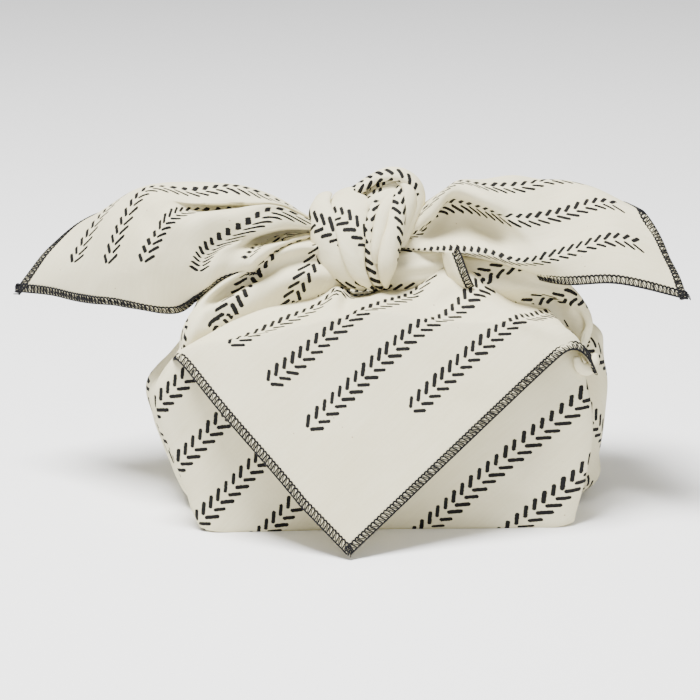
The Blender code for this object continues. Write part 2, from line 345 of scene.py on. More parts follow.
class NodeGraph:
    """Builds a material's or a geometry's node tree."""

    def __init__(self, tree: bpy.types.NodeTree) -> None:
        """Take an empty tree."""
        self.tree = tree

    def node(self, kind: str, settings: dict[str, Any], sockets: dict[Any, Any]) -> bpy.types.Node:
        """Add a node.

        Args:
            kind: The node's type.
            settings: Its properties, which are set first.
            sockets: A value or a link for each input, by name or number.

        Returns:
            The node.
        """
        made = self.tree.nodes.new(kind)
        for name, value in settings.items():
            setattr(made, name, value)
        for name, value in sockets.items():
            if isinstance(value, Value):
                self.tree.links.new(value.socket, made.inputs[name])
            elif isinstance(value, bpy.types.NodeSocket):
                self.tree.links.new(value, made.inputs[name])
            else:
                made.inputs[name].default_value = value
        return made

    def out(self, kind: str, settings: dict[str, Any], sockets: dict[Any, Any]) -> bpy.types.NodeSocket:
        """Add a node and give its first output."""
        return self.node(kind, settings, sockets).outputs[0]

    def value(self, kind: str, settings: dict[str, Any], sockets: dict[Any, Any], out: Any = 0) -> "Value":
        """Add a node and wrap one of its outputs."""
        return Value(self, self.node(kind, settings, sockets).outputs[out])

    def joined(self, parts: Sequence[bpy.types.NodeSocket]) -> bpy.types.NodeSocket:
        """Join geometries.

        Args:
            parts: The outputs that carry them.

        Returns:
            The output that carries all of them.
        """
        join = self.node("GeometryNodeJoinGeometry", {}, {})
        for part in parts:
            self.tree.links.new(part, join.inputs[0])
        return join.outputs[0]

    def noise(self, place: Any, scale: float, detail: float = 2.0, roughness: float = 0.5) -> "Value":
        """Smooth noise round 0.5 on the flat cloth.

        Args:
            place: The place on the cloth.
            scale: Cells of the noise in a unit of the place.
            detail: How many finer noises are added.
            roughness: How strong the finer ones are.

        Returns:
            The noise.
        """
        sockets = {"Vector": place, "Scale": scale, "Detail": detail, "Roughness": roughness}
        return self.value("ShaderNodeTexNoise", {"noise_dimensions": "2D"}, sockets)

    def mixed(self, share: "Value", low: Any, high: Any) -> "Value":
        """One colour laid over another."""
        return self.value("ShaderNodeMix", {"data_type": "RGBA"}, {"Factor": share, 6: low, 7: high}, 2)

    def surface(self, colour: "Value", roughness: Any, height: "Value", relief: float, shine: float) -> None:
        """End a finish in a matt surface with relief.

        Args:
            colour: Its colour.
            roughness: Its roughness.
            height: The height of its relief, in millimetres.
            relief: How strongly the relief shows.
            shine: Its level of reflection.
        """
        bump = self.out("ShaderNodeBump", {}, {"Strength": relief, "Distance": MM, "Height": height})
        sockets = {"Base Color": colour, "Roughness": roughness, "Normal": bump, "Specular IOR Level": shine}
        shader = self.out("ShaderNodeBsdfPrincipled", {}, sockets)
        self.node("ShaderNodeOutputMaterial", {}, {"Surface": shader})


class Value:
    """A number in a node tree, with the arithmetic that adds Math nodes."""

    def __init__(self, graph: NodeGraph, socket: bpy.types.NodeSocket) -> None:
        """Wrap an output socket."""
        self.graph = graph
        self.socket = socket

    def math(self, operation: str, *numbers: Any, first: Any = None) -> "Value":
        """Apply a Math node.

        Args:
            operation: The node's operation.
            numbers: Its other inputs.
            first: The first input, where it isn't this value.

        Returns:
            The result.
        """
        inputs = [self if first is None else first, *numbers]
        return self.graph.value("ShaderNodeMath", {"operation": operation}, dict(enumerate(inputs)))

    def __add__(self, other: Any) -> "Value":
        """Sum."""
        return self.math("ADD", other)

    __radd__ = __add__

    def __sub__(self, other: Any) -> "Value":
        """Difference."""
        return self.math("SUBTRACT", other)

    def __rsub__(self, other: Any) -> "Value":
        """Difference from a number."""
        return self.math("SUBTRACT", self, first=other)

    def __mul__(self, other: Any) -> "Value":
        """Product."""
        return self.math("MULTIPLY", other)

    __rmul__ = __mul__

    def __truediv__(self, other: Any) -> "Value":
        """Quotient."""
        return self.math("DIVIDE", other)

    def __abs__(self) -> "Value":
        """Size without its sign."""
        return self.math("ABSOLUTE")

    def above(self, number: Any) -> "Value":
        """1 where this is more than a number, and 0 elsewhere."""
        return self.math("GREATER_THAN", number)

    def fades(self, low: float, high: float) -> "Value":
        """A soft step.

        Args:
            low: Where it leaves 0.
            high: Where it reaches 1.

        Returns:
            The step.
        """
        return self.graph.value(
            "ShaderNodeMapRange",
            {"interpolation_type": "SMOOTHSTEP"},
            {"Value": self, "From Min": low, "From Max": high},
        )


# --------------------------------------------------------------------------- finishes


Colour = tuple[float, float, float, float]


def blank_finish(name: str) -> tuple[bpy.types.Material, NodeGraph]:
    """An empty material.

    Args:
        name: Its name.

    Returns:
        The material and its tree.
    """
    made = bpy.data.materials.new(name)
    made.use_nodes = True
    made.node_tree.nodes.clear()
    return made, NodeGraph(made.node_tree)


@dataclass(frozen=True)
class Cotton:
    """Natural unbleached plain-weave cotton, bare or printed with rows of chevrons.

    Scales are in cells to a metre of cloth, and the threads, heights and dashes in millimetres.
    """

    name: str = "printed_cotton"
    printed: bool = True
    light: Colour = (0.76, 0.712, 0.508, 1.0)
    warm: Colour = (0.70, 0.64, 0.43, 1.0)
    tone: float = 1.1
    tone_scale: float = 16.0
    tone_detail: float = 4.0
    tone_roughness: float = 0.6
    slub: float = 0.7
    slub_scale: Point = (60.0, 900.0, 1.0)
    fleck: Colour = (0.30, 0.20, 0.11, 1.0)
    fleck_scale: float = 115.0
    fleck_rarity: float = 0.86
    fleck_size: float = 0.42
    fleck_edge: float = 0.03
    fleck_strength: float = 0.75
    roughness: float = 0.88
    shine: float = 0.12
    relief: float = 0.5
    thread_pitch: float = 0.48
    weave_height: float = 0.05
    grain_scale: float = 700.0
    grain_detail: float = 3.0
    grain_height: float = 0.22
    ink: Colour = (0.004, 0.004, 0.005, 1.0)
    ink_cover: float = 0.995
    ink_roughness: float = 0.72
    ink_edge: float = 0.12
    ragged_scale: float = 1500.0
    ragged_edge: float = 0.5
    dash_slip: float = 0.22
    dash_shift: float = 0.5
    dash_stretch: float = 0.5
    dash_swell: float = 0.16

    def chevrons(self, graph: NodeGraph, p: Value, q: Value) -> Value:
        """The printed rows.

        Args:
            graph: The material's tree.
            p: Place along the rows, in millimetres from the middle of the cloth.
            q: Place across the rows.

        Returns:
            1 on the ink and 0 on bare cloth.
        """
        angle = math.radians(CLOTH.dash_angle)
        lines = (CLOTH.half - CLOTH.first_row - q) / CLOTH.row_pitch
        row = (lines + 0.5).math("FLOOR")
        off_row = (row - lines) * CLOTH.row_pitch
        out = abs(off_row)
        start = -CLOTH.half + CLOTH.row_start
        steps = (p - start - out / math.tan(angle)) / CLOTH.chevron_pitch
        step = (steps + 0.5).math("FLOOR")
        ids = graph.value("ShaderNodeCombineXYZ", {}, {0: row, 1: step, 2: off_row.above(0.0)})
        chance = graph.node("ShaderNodeTexWhiteNoise", {"noise_dimensions": "3D"}, {0: ids})
        vary = Value(graph, chance.outputs["Value"]) - 0.5
        slip = graph.value("ShaderNodeSeparateColor", {}, {0: chance.outputs["Color"]}, 1) - 0.5
        back = (steps - step) * CLOTH.chevron_pitch
        sideways = abs(back * math.sin(angle) + slip * self.dash_slip)
        along = out / math.sin(angle) + back * math.cos(angle) - CLOTH.dash_centre
        beyond = abs(along + slip * self.dash_shift) - CLOTH.dash_length / 2 - vary * self.dash_stretch
        beyond = beyond.math("MAXIMUM", 0.0)
        away = (sideways * sideways + beyond * beyond).math("SQRT")
        ragged = graph.noise(self.place(graph), self.ragged_scale)
        away = away + (ragged - 0.5) * self.ragged_edge - vary * self.dash_swell
        ink = 1.0 - away.fades(CLOTH.dash_radius - self.ink_edge, CLOTH.dash_radius + self.ink_edge)
        last = (CLOTH.side - CLOTH.row_start - CLOTH.row_end) / CLOTH.chevron_pitch
        first_row = 1.0 - row.above(0.5)
        kept = (step - first_row * CLOTH.short_row_skips).above(-0.5)
        kept = kept * (1.0 - step.above(last)) * row.above(-0.5)
        return ink * kept * (1.0 - row.above(CLOTH.rows + 0.5))

    def place(self, graph: NodeGraph) -> bpy.types.NodeSocket:
        """The place on the flat cloth, in metres."""
        return graph.out("ShaderNodeUVMap", {"uv_map": CLOTH_UV}, {})

    def flecks(self, graph: NodeGraph, place: bpy.types.NodeSocket) -> Value:
        """The dark bits of seed in the cotton.

        Args:
            graph: The material's tree.
            place: The place on the flat cloth.

        Returns:
            1 in the middle of a fleck and 0 outside.
        """
        sockets = {"Vector": place, "Scale": self.fleck_scale, "Randomness": 1.0}
        specks = graph.node("ShaderNodeTexVoronoi", {"voronoi_dimensions": "2D"}, sockets)
        chance = graph.value("ShaderNodeSeparateColor", {}, {0: specks.outputs["Color"]}, 0)
        size = (chance - self.fleck_rarity) * self.fleck_size
        return (size - Value(graph, specks.outputs["Distance"])).fades(0.0, self.fleck_edge)

    def weave(self, graph: NodeGraph, p: Value, q: Value) -> Value:
        """The plain weave.

        Args:
            graph: The material's tree.
            p: Place along the rows, in millimetres.
            q: Place across the rows.

        Returns:
            Its height, in millimetres.
        """
        turn = 2 * math.pi / self.thread_pitch
        warp = (p * turn).math("SINE")
        weft = (q * turn).math("SINE")
        grain = graph.noise(self.place(graph), self.grain_scale, self.grain_detail)
        return (warp * weft) * self.weave_height + (grain - 0.5) * self.grain_height

    def material(self) -> bpy.types.Material:
        """Build the finish.

        Returns:
            The material.
        """
        made, graph = blank_finish(self.name)
        place = self.place(graph)
        parts = graph.node("ShaderNodeSeparateXYZ", {}, {0: place})
        p = Value(graph, parts.outputs[0]) * (1 / MM)
        q = Value(graph, parts.outputs[1]) * (1 / MM)
        tone = graph.noise(place, self.tone_scale, self.tone_detail, self.tone_roughness)
        drawn_out = graph.out("ShaderNodeMapping", {}, {"Vector": place, "Scale": self.slub_scale})
        slub = graph.noise(drawn_out, 1.0)
        shade = (tone - 0.5) * self.tone + (slub - 0.5) * self.slub + 0.5
        colour = graph.mixed(shade.fades(0.0, 1.0), self.light, self.warm)
        colour = graph.mixed(self.flecks(graph, place) * self.fleck_strength, colour, self.fleck)
        rough: Value | float = self.roughness
        if self.printed:
            ink = self.chevrons(graph, p, q)
            colour = graph.mixed(ink * self.ink_cover, colour, self.ink)
            rough = ink * (self.ink_roughness - self.roughness) + self.roughness
        graph.surface(colour, rough, self.weave(graph, p, q), self.relief, self.shine)
        return made


@dataclass(frozen=True)
class SergingThread:
    """Black thread of the overlocked hem, with its twist and its worn fuzz."""

    name: str = "serging_thread"
    colour: Colour = (0.003, 0.003, 0.004, 1.0)
    worn: Colour = (0.012, 0.012, 0.014, 1.0)
    wear: tuple[float, float] = (0.35, 0.75)
    roughness: float = 0.5
    roughness_range: float = 0.2
    shine: float = 0.2
    relief: float = 0.6
    twist: Point = (1.0, 0.6, 0.8)
    twist_pitch: float = 0.5
    twist_height: float = 0.08
    fuzz_scale: float = 1800.0
    fuzz_height: float = 0.1

    def material(self) -> bpy.types.Material:
        """Build the finish.

        Returns:
            The material.
        """
        made, graph = blank_finish(self.name)
        place = graph.node("ShaderNodeTexCoord", {}, {}).outputs["Object"]
        parts = graph.node("ShaderNodeSeparateXYZ", {}, {0: place})
        x, y, z = (Value(graph, part) * (share / MM) for part, share in zip(parts.outputs, self.twist))
        ply = ((x + y + z) * (2 * math.pi / self.twist_pitch)).math("SINE")
        fuzz = graph.value("ShaderNodeTexNoise", {}, {"Vector": place, "Scale": self.fuzz_scale})
        colour = graph.mixed(fuzz.fades(*self.wear), self.colour, self.worn)
        rough = fuzz * self.roughness_range + self.roughness
        height = ply * self.twist_height + fuzz * self.fuzz_height
        graph.surface(colour, rough, height, self.relief, self.shine)
        return made


@dataclass(frozen=True)
class Wardrobe:
    """The finishes that the pieces share."""

    printed: bpy.types.Material
    bare: bpy.types.Material
    thread: bpy.types.Material


# --------------------------------------------------------------------------- sheets


class Sheet:
    """A sheet of cloth as rows of points, each with its place on the flat cloth."""

    def __init__(self, points: np.ndarray, cloth: np.ndarray, ringed: bool = False) -> None:
        """Take the points and their places on the cloth.

        Args:
            points: Rows of points in millimetres.
            cloth: Rows of places, with one more column where the sheet is a ring.
            ringed: Whether the last column joins the first.
        """
        self.points = points
        self.cloth = cloth
        self.ringed = ringed

    def normals(self) -> np.ndarray:
        """Work out where the sheet faces.

        Returns:
            The direction that each point faces.
        """
        points = self.points
        if self.ringed:
            across = np.roll(points, -1, axis=1) - np.roll(points, 1, axis=1)
        else:
            across = np.gradient(points, axis=1)
        facing = np.cross(np.gradient(points, axis=0), across)
        size = np.linalg.norm(facing, axis=-1, keepdims=True)
        return facing / np.maximum(size, TINY)

    def turn_over(self) -> None:
        """Make the sheet face the other way."""
        self.points = self.points[::-1]
        self.cloth = self.cloth[::-1]

    def face(self, direction: Sequence[float]) -> "Sheet":
        """Turn the sheet over if it faces away from a direction.

        Args:
            direction: Where most of the sheet faces.

        Returns:
            The sheet itself.
        """
        if float((self.normals() @ np.array(direction, float)).mean()) < 0:
            self.turn_over()
        return self

    def face_out(self) -> "Sheet":
        """Turn a ring over if it faces its own middle.

        Returns:
            The sheet itself.
        """
        middle = self.points.mean(axis=1, keepdims=True)
        if float(((self.points - middle) * self.normals()).sum(axis=-1).mean()) < 0:
            self.turn_over()
        return self

    def press(self, creases: Sequence[Crease]) -> "Sheet":
        """Press troughs and raise ridges.

        Args:
            creases: The folds to make.

        Returns:
            The sheet itself.
        """
        for crease in creases:
            normals = self.normals()
            facing = np.clip(normals @ crease.side.normal * CREASE_FACING, 0, 1)
            fall = crease.fall(crease.side.drawn(self.points))
            self.points = self.points - normals * (fall * facing)[..., None]
        return self

    def rumple(self, waves: Sequence[Rumple]) -> "Sheet":
        """Add slight unevenness.

        Args:
            waves: The sizes of the unevenness.

        Returns:
            The sheet itself.
        """
        columns = self.points.shape[1]
        for wave in waves:
            p, q = self.cloth[:, :columns, 0], self.cloth[:, :columns, 1]
            lift = value_noise(p / wave.along, q / wave.across, wave.seed) * wave.height
            self.points = self.points + self.normals() * lift[..., None]
        return self

    def add_to(self, shape: bmesh.types.BMesh) -> None:
        """Add the sheet's faces to a mesh, with the places on the cloth as its UV.

        Args:
            shape: The mesh.
        """
        layer = shape.loops.layers.uv.get(CLOTH_UV) or shape.loops.layers.uv.new(CLOTH_UV)
        rows, columns = self.points.shape[:2]
        made = [[shape.verts.new(point * MM) for point in row] for row in self.points]
        for i in range(rows - 1):
            for j in range(columns if self.ringed else columns - 1):
                corners = ((i, j), (i + 1, j), (i + 1, j + 1), (i, j + 1))
                face = shape.faces.new([made[a][b % columns] for a, b in corners])
                face.smooth = True
                for loop, (a, b) in zip(face.loops, corners):
                    loop[layer].uv = self.cloth[a, b] * MM

    def hem(self, edge: Edge) -> HemLine:
        """The line of an edge.

        Args:
            edge: Which edge.

        Returns:
            Its points, the directions into the cloth and the directions it faces.
        """
        normals = self.normals()
        if edge is Edge.FIRST_ROW:
            line, inner, facing = self.points[0], self.points[2], normals[0]
        elif edge is Edge.FIRST_COLUMN:
            line, inner, facing = self.points[:, 0], self.points[:, 2], normals[:, 0]
        else:
            line, inner, facing = self.points[:, -1], self.points[:, -3], normals[:, -1]
        along = np.gradient(line, axis=0)
        along /= np.maximum(np.linalg.norm(along, axis=1, keepdims=True), TINY)
        inward = inner - line
        inward -= along * (inward * along).sum(axis=1, keepdims=True)
        inward /= np.maximum(np.linalg.norm(inward, axis=1, keepdims=True), TINY)
        return line, inward, facing


def close_base(shape: bmesh.types.BMesh) -> None:
    """Close the open loop at the bottom of a mesh with flat cloth.

    Args:
        shape: The mesh.
    """
    low = min(vert.co.z for vert in shape.verts) + WELD * MM
    rim = [edge for edge in shape.edges if edge.is_boundary and all(vert.co.z < low for vert in edge.verts)]
    layer = shape.loops.layers.uv[CLOTH_UV]
    for face in bmesh.ops.edgeloop_fill(shape, edges=rim)["faces"]:
        if face.normal.z > 0:
            face.normal_flip()
        for loop in face.loops:
            spot = loop.vert.co / MM
            loop[layer].uv = CLOTH.from_diagonals(spot.x, spot.y) * MM


def finished(name: str, sheets: Sequence[Sheet], wardrobe: Wardrobe, based: bool = False) -> bpy.types.Object:
    """A piece of cloth with its thickness.

    Args:
        name: The piece's name.
        sheets: Its sheets, joined where their edges meet.
        wardrobe: The finishes.
        based: Whether the piece has a flat base.

    Returns:
        The object.
    """
    shape = bmesh.new()
    for sheet in sheets:
        sheet.add_to(shape)
    bmesh.ops.remove_doubles(shape, verts=shape.verts, dist=WELD * MM)
    if based:
        close_base(shape)
    mesh = bpy.data.meshes.new(name)
    shape.to_mesh(mesh)
    shape.free()
    piece = placed(name, mesh)
    mesh.materials.append(wardrobe.printed)
    mesh.materials.append(wardrobe.bare)
    wall = piece.modifiers.new("thickness", "SOLIDIFY")
    wall.thickness = THICKNESS * MM
    wall.offset = -1
    wall.material_offset = 1
    return piece


def declare(piece: bpy.types.Object, flat: Place, area: float | None = None) -> None:
    """Attach a piece to the root, hide the CAD cloth that it stands in for, and log its area against its
    share of the flat cloth.

    Args:
        piece: The piece.
        flat: Width and length of its share of the flat cloth, in metres.
        area: Its flat area where the share isn't a rectangle, in square metres.
    """
    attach(piece, ROOT)
    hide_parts(NODE)
    faces = piece.data.polygons
    cloth = sum(face.area for face in faces)
    LOG.info("%s: %d faces, %.4f m2 of %.4f", piece.name, len(faces), cloth, area or flat[0] * flat[1])


def loft(table: Sequence[Sequence[Any]], ringed: bool, step: float = GRID_STEP) -> np.ndarray:
    """A fine sheet of points through a table of sections.

    Args:
        table: A row for each section, with the same number of points in each.
        ringed: Whether each section is a closed ring.
        step: Distance between two points.

    Returns:
        Rows of points.
    """
    coarse = np.array([[tuple(point) for point in row] for row in table], float)
    if ringed:
        coarse = np.concatenate([coarse[:, -2:], coarse, coarse[:, :3]], axis=1)
    knots = lengths(coarse, 1).mean(axis=0)
    if ringed:
        first, last = knots[2], knots[-3]
        places = first + evenly(last - first, step)[:-1]
    else:
        places = evenly(knots[-1], step)
    across = np.stack([spline(knots, row, places) for row in coarse])
    ways = lengths(across, 0).mean(axis=1)
    return spline(ways, across, evenly(ways[-1], step))


# --------------------------------------------------------------------------- the bundle


class Level(NamedTuple):
    """A level section of the wrapped sides: folds, bulges and faces."""

    z: float
    front_left: float
    front_right: float
    valley_left: float
    valley_right: float
    bulge_left: float
    bulge_right: float
    back_left: float
    back_right: float
    front: float
    back: float


@dataclass
class WrappedSides:
    """The cloth over the load: flat base, folded front corners and bulging sides."""

    wardrobe: Wardrobe
    flat: Place = (0.32, 0.26)
    base_half: float = 83.0
    base_depth: float = 56.0
    # The front: places along each half of it with how far they sag out, and the fold at its end.
    front_half: tuple[Place, ...] = ((0.3, 0.0), (0.8, 0.4), (0.95, 0.0))
    fold_radius: float = 3.0
    fold_lap: float = 2.5
    fold_share: float = 0.07
    tuck_share: float = 0.16
    right_tuck: float = 6.0
    # The two sides: how the valley meets the bulge, the bulge, and the folds before the back.
    left_meeting: Place = (3.0, 0.08)
    right_meeting: Place = (4.0, 0.09)
    bulge_shares: Place = (0.15, 0.06)
    back_folds: tuple[Place, ...] = ((-2.0, 0.24), (2.0, 0.1))
    corner: float = 2.0
    back_share: float = 0.82
    pull: float = 0.0014
    levels: tuple[Level, ...] = (
        Level(0, -78, 83, -77, 82, -80, 86, -76, 78, -62, 53),
        Level(1.5, -81, 86, -78, 84, -84, 92, -80, 83, -62.6, 56),
        Level(5, -83, 87, -79, 85, -88, 98, -82, 86, -62, 57),
        Level(20, -88, 91, -82, 88, -95, 101, -86, 90, -60, 59),
        Level(38, -95, 94, -86, 84, -101, 103.5, -88, 92, -58, 59),
        Level(55, -101, 93, -88, 82, -103, 104.5, -88, 91, -57, 58),
        Level(66, -101, 91, -89, 81, -94, 103, -86, 89, -56, 56),
        Level(77, -93, 88, -84, 79, -85, 100, -80, 84, -54, 52),
        Level(83, -82, 81, -78, 75, -77, 90, -71, 75, -52, 46),
        Level(86.5, -66, 66, -62, 62, -64, 64, -56, 56, -47, 38),
        Level(88, -44, 44, -40, 40, -42, 42, -38, 38, -40, 26),
        Level(89, -12, 12, -10, 10, -11, 11, -9, 9, -28, -12),
    )
    creases: tuple[Crease, ...] = (
        Crease(Side.FRONT, (-97, 62), (-86, 40), (-81, 12), 5, 1.6, 0.4),
        Crease(Side.SEEN, (-78.5, -5), (-83.5, -10.5), (-87.6, -18), 1.8, 2.2, 0.5),
        Crease(Side.SEEN, (-80, -1.5), (-87, -8), (-91, -16), 2.0, -1.2, 0.5),
        Crease(Side.FRONT, (-74, 60), (-66, 36), (-68, 8), 9, 1.0, 0.4),
        Crease(Side.FRONT, (66, 70), (78, 40), (76, 8), 9, -0.9, 0.5),
        Crease(Side.FRONT, (40, 30), (60, 16), (82, 10), 7, 0.7, 0.6),
        Crease(Side.RIGHT, (-34, 82), (-28, 50), (-30, 4), 6, 3.0, 0.4),
        Crease(Side.RIGHT, (-20, 84), (-8, 56), (-6, 20), 5, 2.2, 0.3),
        Crease(Side.RIGHT, (2, 86), (10, 60), (14, 30), 5, 2.0, 0.3),
        Crease(Side.RIGHT, (22, 84), (30, 52), (36, 12), 6, 2.6, 0.4),
        Crease(Side.RIGHT, (-6, 60), (12, 34), (18, 8), 9, -1.6, 0.5),
        Crease(Side.LEFT, (-34, 84), (-30, 50), (-34, 6), 6, 3.0, 0.4),
        Crease(Side.LEFT, (-16, 86), (-10, 56), (-12, 24), 5, 2.2, 0.3),
        Crease(Side.LEFT, (6, 86), (8, 60), (4, 30), 5, 2.0, 0.3),
        Crease(Side.LEFT, (24, 84), (30, 50), (38, 10), 6, 2.6, 0.4),
        Crease(Side.LEFT, (-2, 58), (-8, 34), (-18, 8), 9, -1.6, 0.5),
        Crease(Side.BACK, (-70, 88), (-78, 56), (-80, 14), 7, 2.2, 0.4),
        Crease(Side.BACK, (68, 88), (80, 56), (82, 14), 7, 2.2, 0.4),
        Crease(Side.BACK, (-30, 94), (-52, 60), (-60, 20), 10, 1.0, 0.3),
        Crease(Side.BACK, (26, 94), (44, 62), (40, 22), 10, 1.0, 0.3),
    )
    rumples: tuple[Rumple, ...] = (Rumple(46, 38, 0.7, 11), Rumple(17, 21, 0.22, 12))

    def front_plan(self, level: Level, valley: float, fold: float, tuck: float) -> list[Place]:
        """Half of the front at one level.

        Args:
            level: The level.
            valley: How far to the right the valley lies.
            fold: How far to the right the front's fold lies.
            tuck: How far back the valley lies.

        Returns:
            Points from the middle of the front to the valley.
        """
        lap = math.copysign(self.fold_lap, fold)
        return [
            *((fold * share, level.front - sag) for share, sag in self.front_half),
            (fold, level.front + self.fold_radius),
            (fold - lap, level.front + self.fold_share * (level.back - level.front)),
            (valley, tuck),
        ]

    def side_plan(self, level: Level, right: bool, tuck: float) -> list[Place]:
        """One side at one level.

        Args:
            level: The level.
            right: Whether it is the right side.
            tuck: How far back the valley lies.

        Returns:
            Points from the valley to the back.
        """
        way = 1 if right else -1
        valley = level.valley_right if right else level.valley_left
        bulge = level.bulge_right if right else level.bulge_left
        corner = level.back_right if right else level.back_left
        inset, share = self.right_meeting if right else self.left_meeting
        depth = level.back - level.front
        middle = level.front + depth / 2
        before, after = self.bulge_shares
        return [
            (valley, tuck),
            (bulge - way * inset, tuck + share * depth),
            (bulge, middle - before * depth),
            (bulge, middle + after * depth),
            *((corner + way * out, level.back - part * depth) for out, part in self.back_folds),
            (corner - way * self.corner, level.back - self.corner),
        ]

    def panels(self) -> list[list[list[Point]]]:
        """Draw the four sides.

        Returns:
            The section tables of the front, the right side, the back and the left side.
        """
        tables: list[list[list[Point]]] = [[], [], [], []]
        for level in self.levels:
            left_tuck = level.front + self.tuck_share * (level.back - level.front)
            right_tuck = left_tuck + self.right_tuck
            front = self.front_plan(level, level.valley_left, level.front_left, left_tuck)[::-1]
            front += self.front_plan(level, level.valley_right, level.front_right, right_tuck)
            right = self.side_plan(level, True, right_tuck)
            left = self.side_plan(level, False, left_tuck)
            back = [
                right[-1],
                (level.back_right * self.back_share, level.back),
                (0, level.back),
                (level.back_left * self.back_share, level.back),
                left[-1],
            ]
            for table, plan in zip(tables, (front, right, back, left[::-1])):
                table.append([(x, y, level.z) for x, y in plan])
        return tables

    def build(self) -> bpy.types.Object:
        """Make the piece.

        Returns:
            The object.
        """
        panels = [np.array(table, float) for table in self.panels()]
        ways = lengths(panels[0], 0).mean(axis=1)
        rows = evenly(ways[-1], GRID_STEP)
        sheets = []
        for side, coarse in zip((Side.FRONT, Side.RIGHT, Side.BACK, Side.LEFT), panels):
            knots = lengths(coarse, 1).mean(axis=0)
            places = evenly(knots[-1], GRID_STEP)
            across = np.stack([spline(knots, row, places) for row in coarse])
            points = spline(ways, across, rows)
            right, back = side.normal[:2]
            axis, base = (0, self.base_depth) if back else (1, self.base_half)
            run = lengths(points, 1)
            middle = points.shape[1] // 2
            way = np.sign(points[:, -1, axis] - points[:, 0, axis])
            run = run - run[:, middle, None] + (way * points[:, middle, axis])[:, None]
            if side is Side.FRONT:
                run = run - self.pull * np.maximum(run, 0) ** 2
            out = base + lengths(points, 0).mean(axis=1)[:, None] + np.zeros_like(run)
            cloth = CLOTH.from_diagonals(right * out - back * run, back * out + right * run)
            sheet = Sheet(points, cloth).face(side.normal)
            seam = sheet.points[:, [0, -1]].copy()
            sheet.rumple(self.rumples).press(self.creases)
            sheet.points[:, [0, -1]] = seam
            sheet.points[..., 2] = np.maximum(sheet.points[..., 2], 0)
            sheet.points[sheet.points[:, 0, 2].argmin(), :, 2] = 0
            sheets.append(sheet)
        piece = finished("wrapped_sides", sheets, self.wardrobe, based=True)
        declare(piece, self.flat)
        return piece


@dataclass(frozen=True)
class Lay:
    """How a strand lies on the flat cloth: a place where a printed row crosses it, and how.

    The angle is from the strand's length to the way the row's chevrons point, in degrees. `own` is
    how far each column counts its own length, from 0 for the mean length to 1.
    """

    along: float
    across: float
    angle: float
    row: int = 6
    own: float = 0.0

    def places(self, along: np.ndarray, across: np.ndarray) -> np.ndarray:
        """Find the strand's points on the cloth.

        Args:
            along: Distance along the strand.
            across: Distance across it.

        Returns:
            The places on the cloth.
        """
        turn = math.radians(self.angle)
        forward, aside = along - self.along, across - self.across
        p = -(forward * math.cos(turn) + aside * math.sin(turn))
        q = CLOTH.half - CLOTH.first_row - self.row * CLOTH.row_pitch
        return np.stack([p, q - forward * math.sin(turn) + aside * math.cos(turn)], axis=-1)


def ring_sheet(points: np.ndarray, lay: Lay, middle: int = 0) -> Sheet:
    """A ringed sheet that lies on the cloth as given.

    Args:
        points: Rows of points round the strand.
        lay: How the strand lies on the flat cloth.
        middle: The column that distances across are counted from.

    Returns:
        The sheet.
    """
    closed = np.concatenate([points, points[:, :1]], axis=1)
    along = lengths(closed, 0)
    along = along * lay.own + along.mean(axis=1)[:, None] * (1 - lay.own)
    across = lengths(closed, 1)
    across = across - across[:, middle : middle + 1]
    return Sheet(points, lay.places(along, across), ringed=True)


class Bend(NamedTuple):
    """A point on the middle line of a strap, with the strap's width and thickness there."""

    x: float
    y: float
    z: float
    width: float
    thickness: float


@dataclass(frozen=True)
class Strap:
    """A strap of folded cloth that bends round a centre."""

    line: tuple[Bend, ...]
    lay: Lay
    centre: Point = (-9.0, 2.0, 118.0)
    bow: float = 0.03
    ripples: int = 2
    ripple: float = 0.05
    boxiness: float = 0.85
    fewest: int = 20
    girth_share: float = 1.5

    def sheet(self, step: float = 0.9) -> Sheet:
        """The strap as a ringed sheet, with its seam on the side of the centre.

        Args:
            step: Distance between two points.

        Returns:
            The sheet.
        """
        coarse = np.array(self.line, float)
        knots = lengths(coarse[:, :3], 0)
        line = spline(knots, coarse, evenly(knots[-1], step))
        along = np.gradient(line[:, :3], axis=0)
        along /= np.linalg.norm(along, axis=1, keepdims=True)
        out = line[:, :3] - np.array(self.centre)
        out -= along * (out * along).sum(axis=1, keepdims=True)
        out /= np.linalg.norm(out, axis=1, keepdims=True)
        aside = np.cross(along, out)
        girth = (coarse[:, 3].mean() + coarse[:, 4].mean()) * self.girth_share
        count = max(self.fewest, 2 * round(girth / 2 / step))
        angle = -math.pi + np.arange(count) / count * 2 * math.pi
        wide = np.sign(np.sin(angle)) * np.abs(np.sin(angle)) ** self.boxiness
        thick = np.sign(np.cos(angle)) * np.abs(np.cos(angle)) ** self.boxiness
        thick = thick * (1 + self.ripple * np.cos(self.ripples * math.pi * wide))
        half_width, half_thickness = line[:, 3:4, None] / 2, line[:, 4:5, None] / 2
        wide, thick = wide[None, :, None] * half_width, thick[None, :, None] * half_thickness
        points = line[:, None, :3] + aside[:, None] * wide + out[:, None] * (thick - self.bow * wide**2)
        return ring_sheet(points, self.lay, count // 2).face_out()


class Crest(NamedTuple):
    """The flap's turn over the front edge: a place along it, its height, and the climb beyond."""

    x: float
    height: float
    climb: float


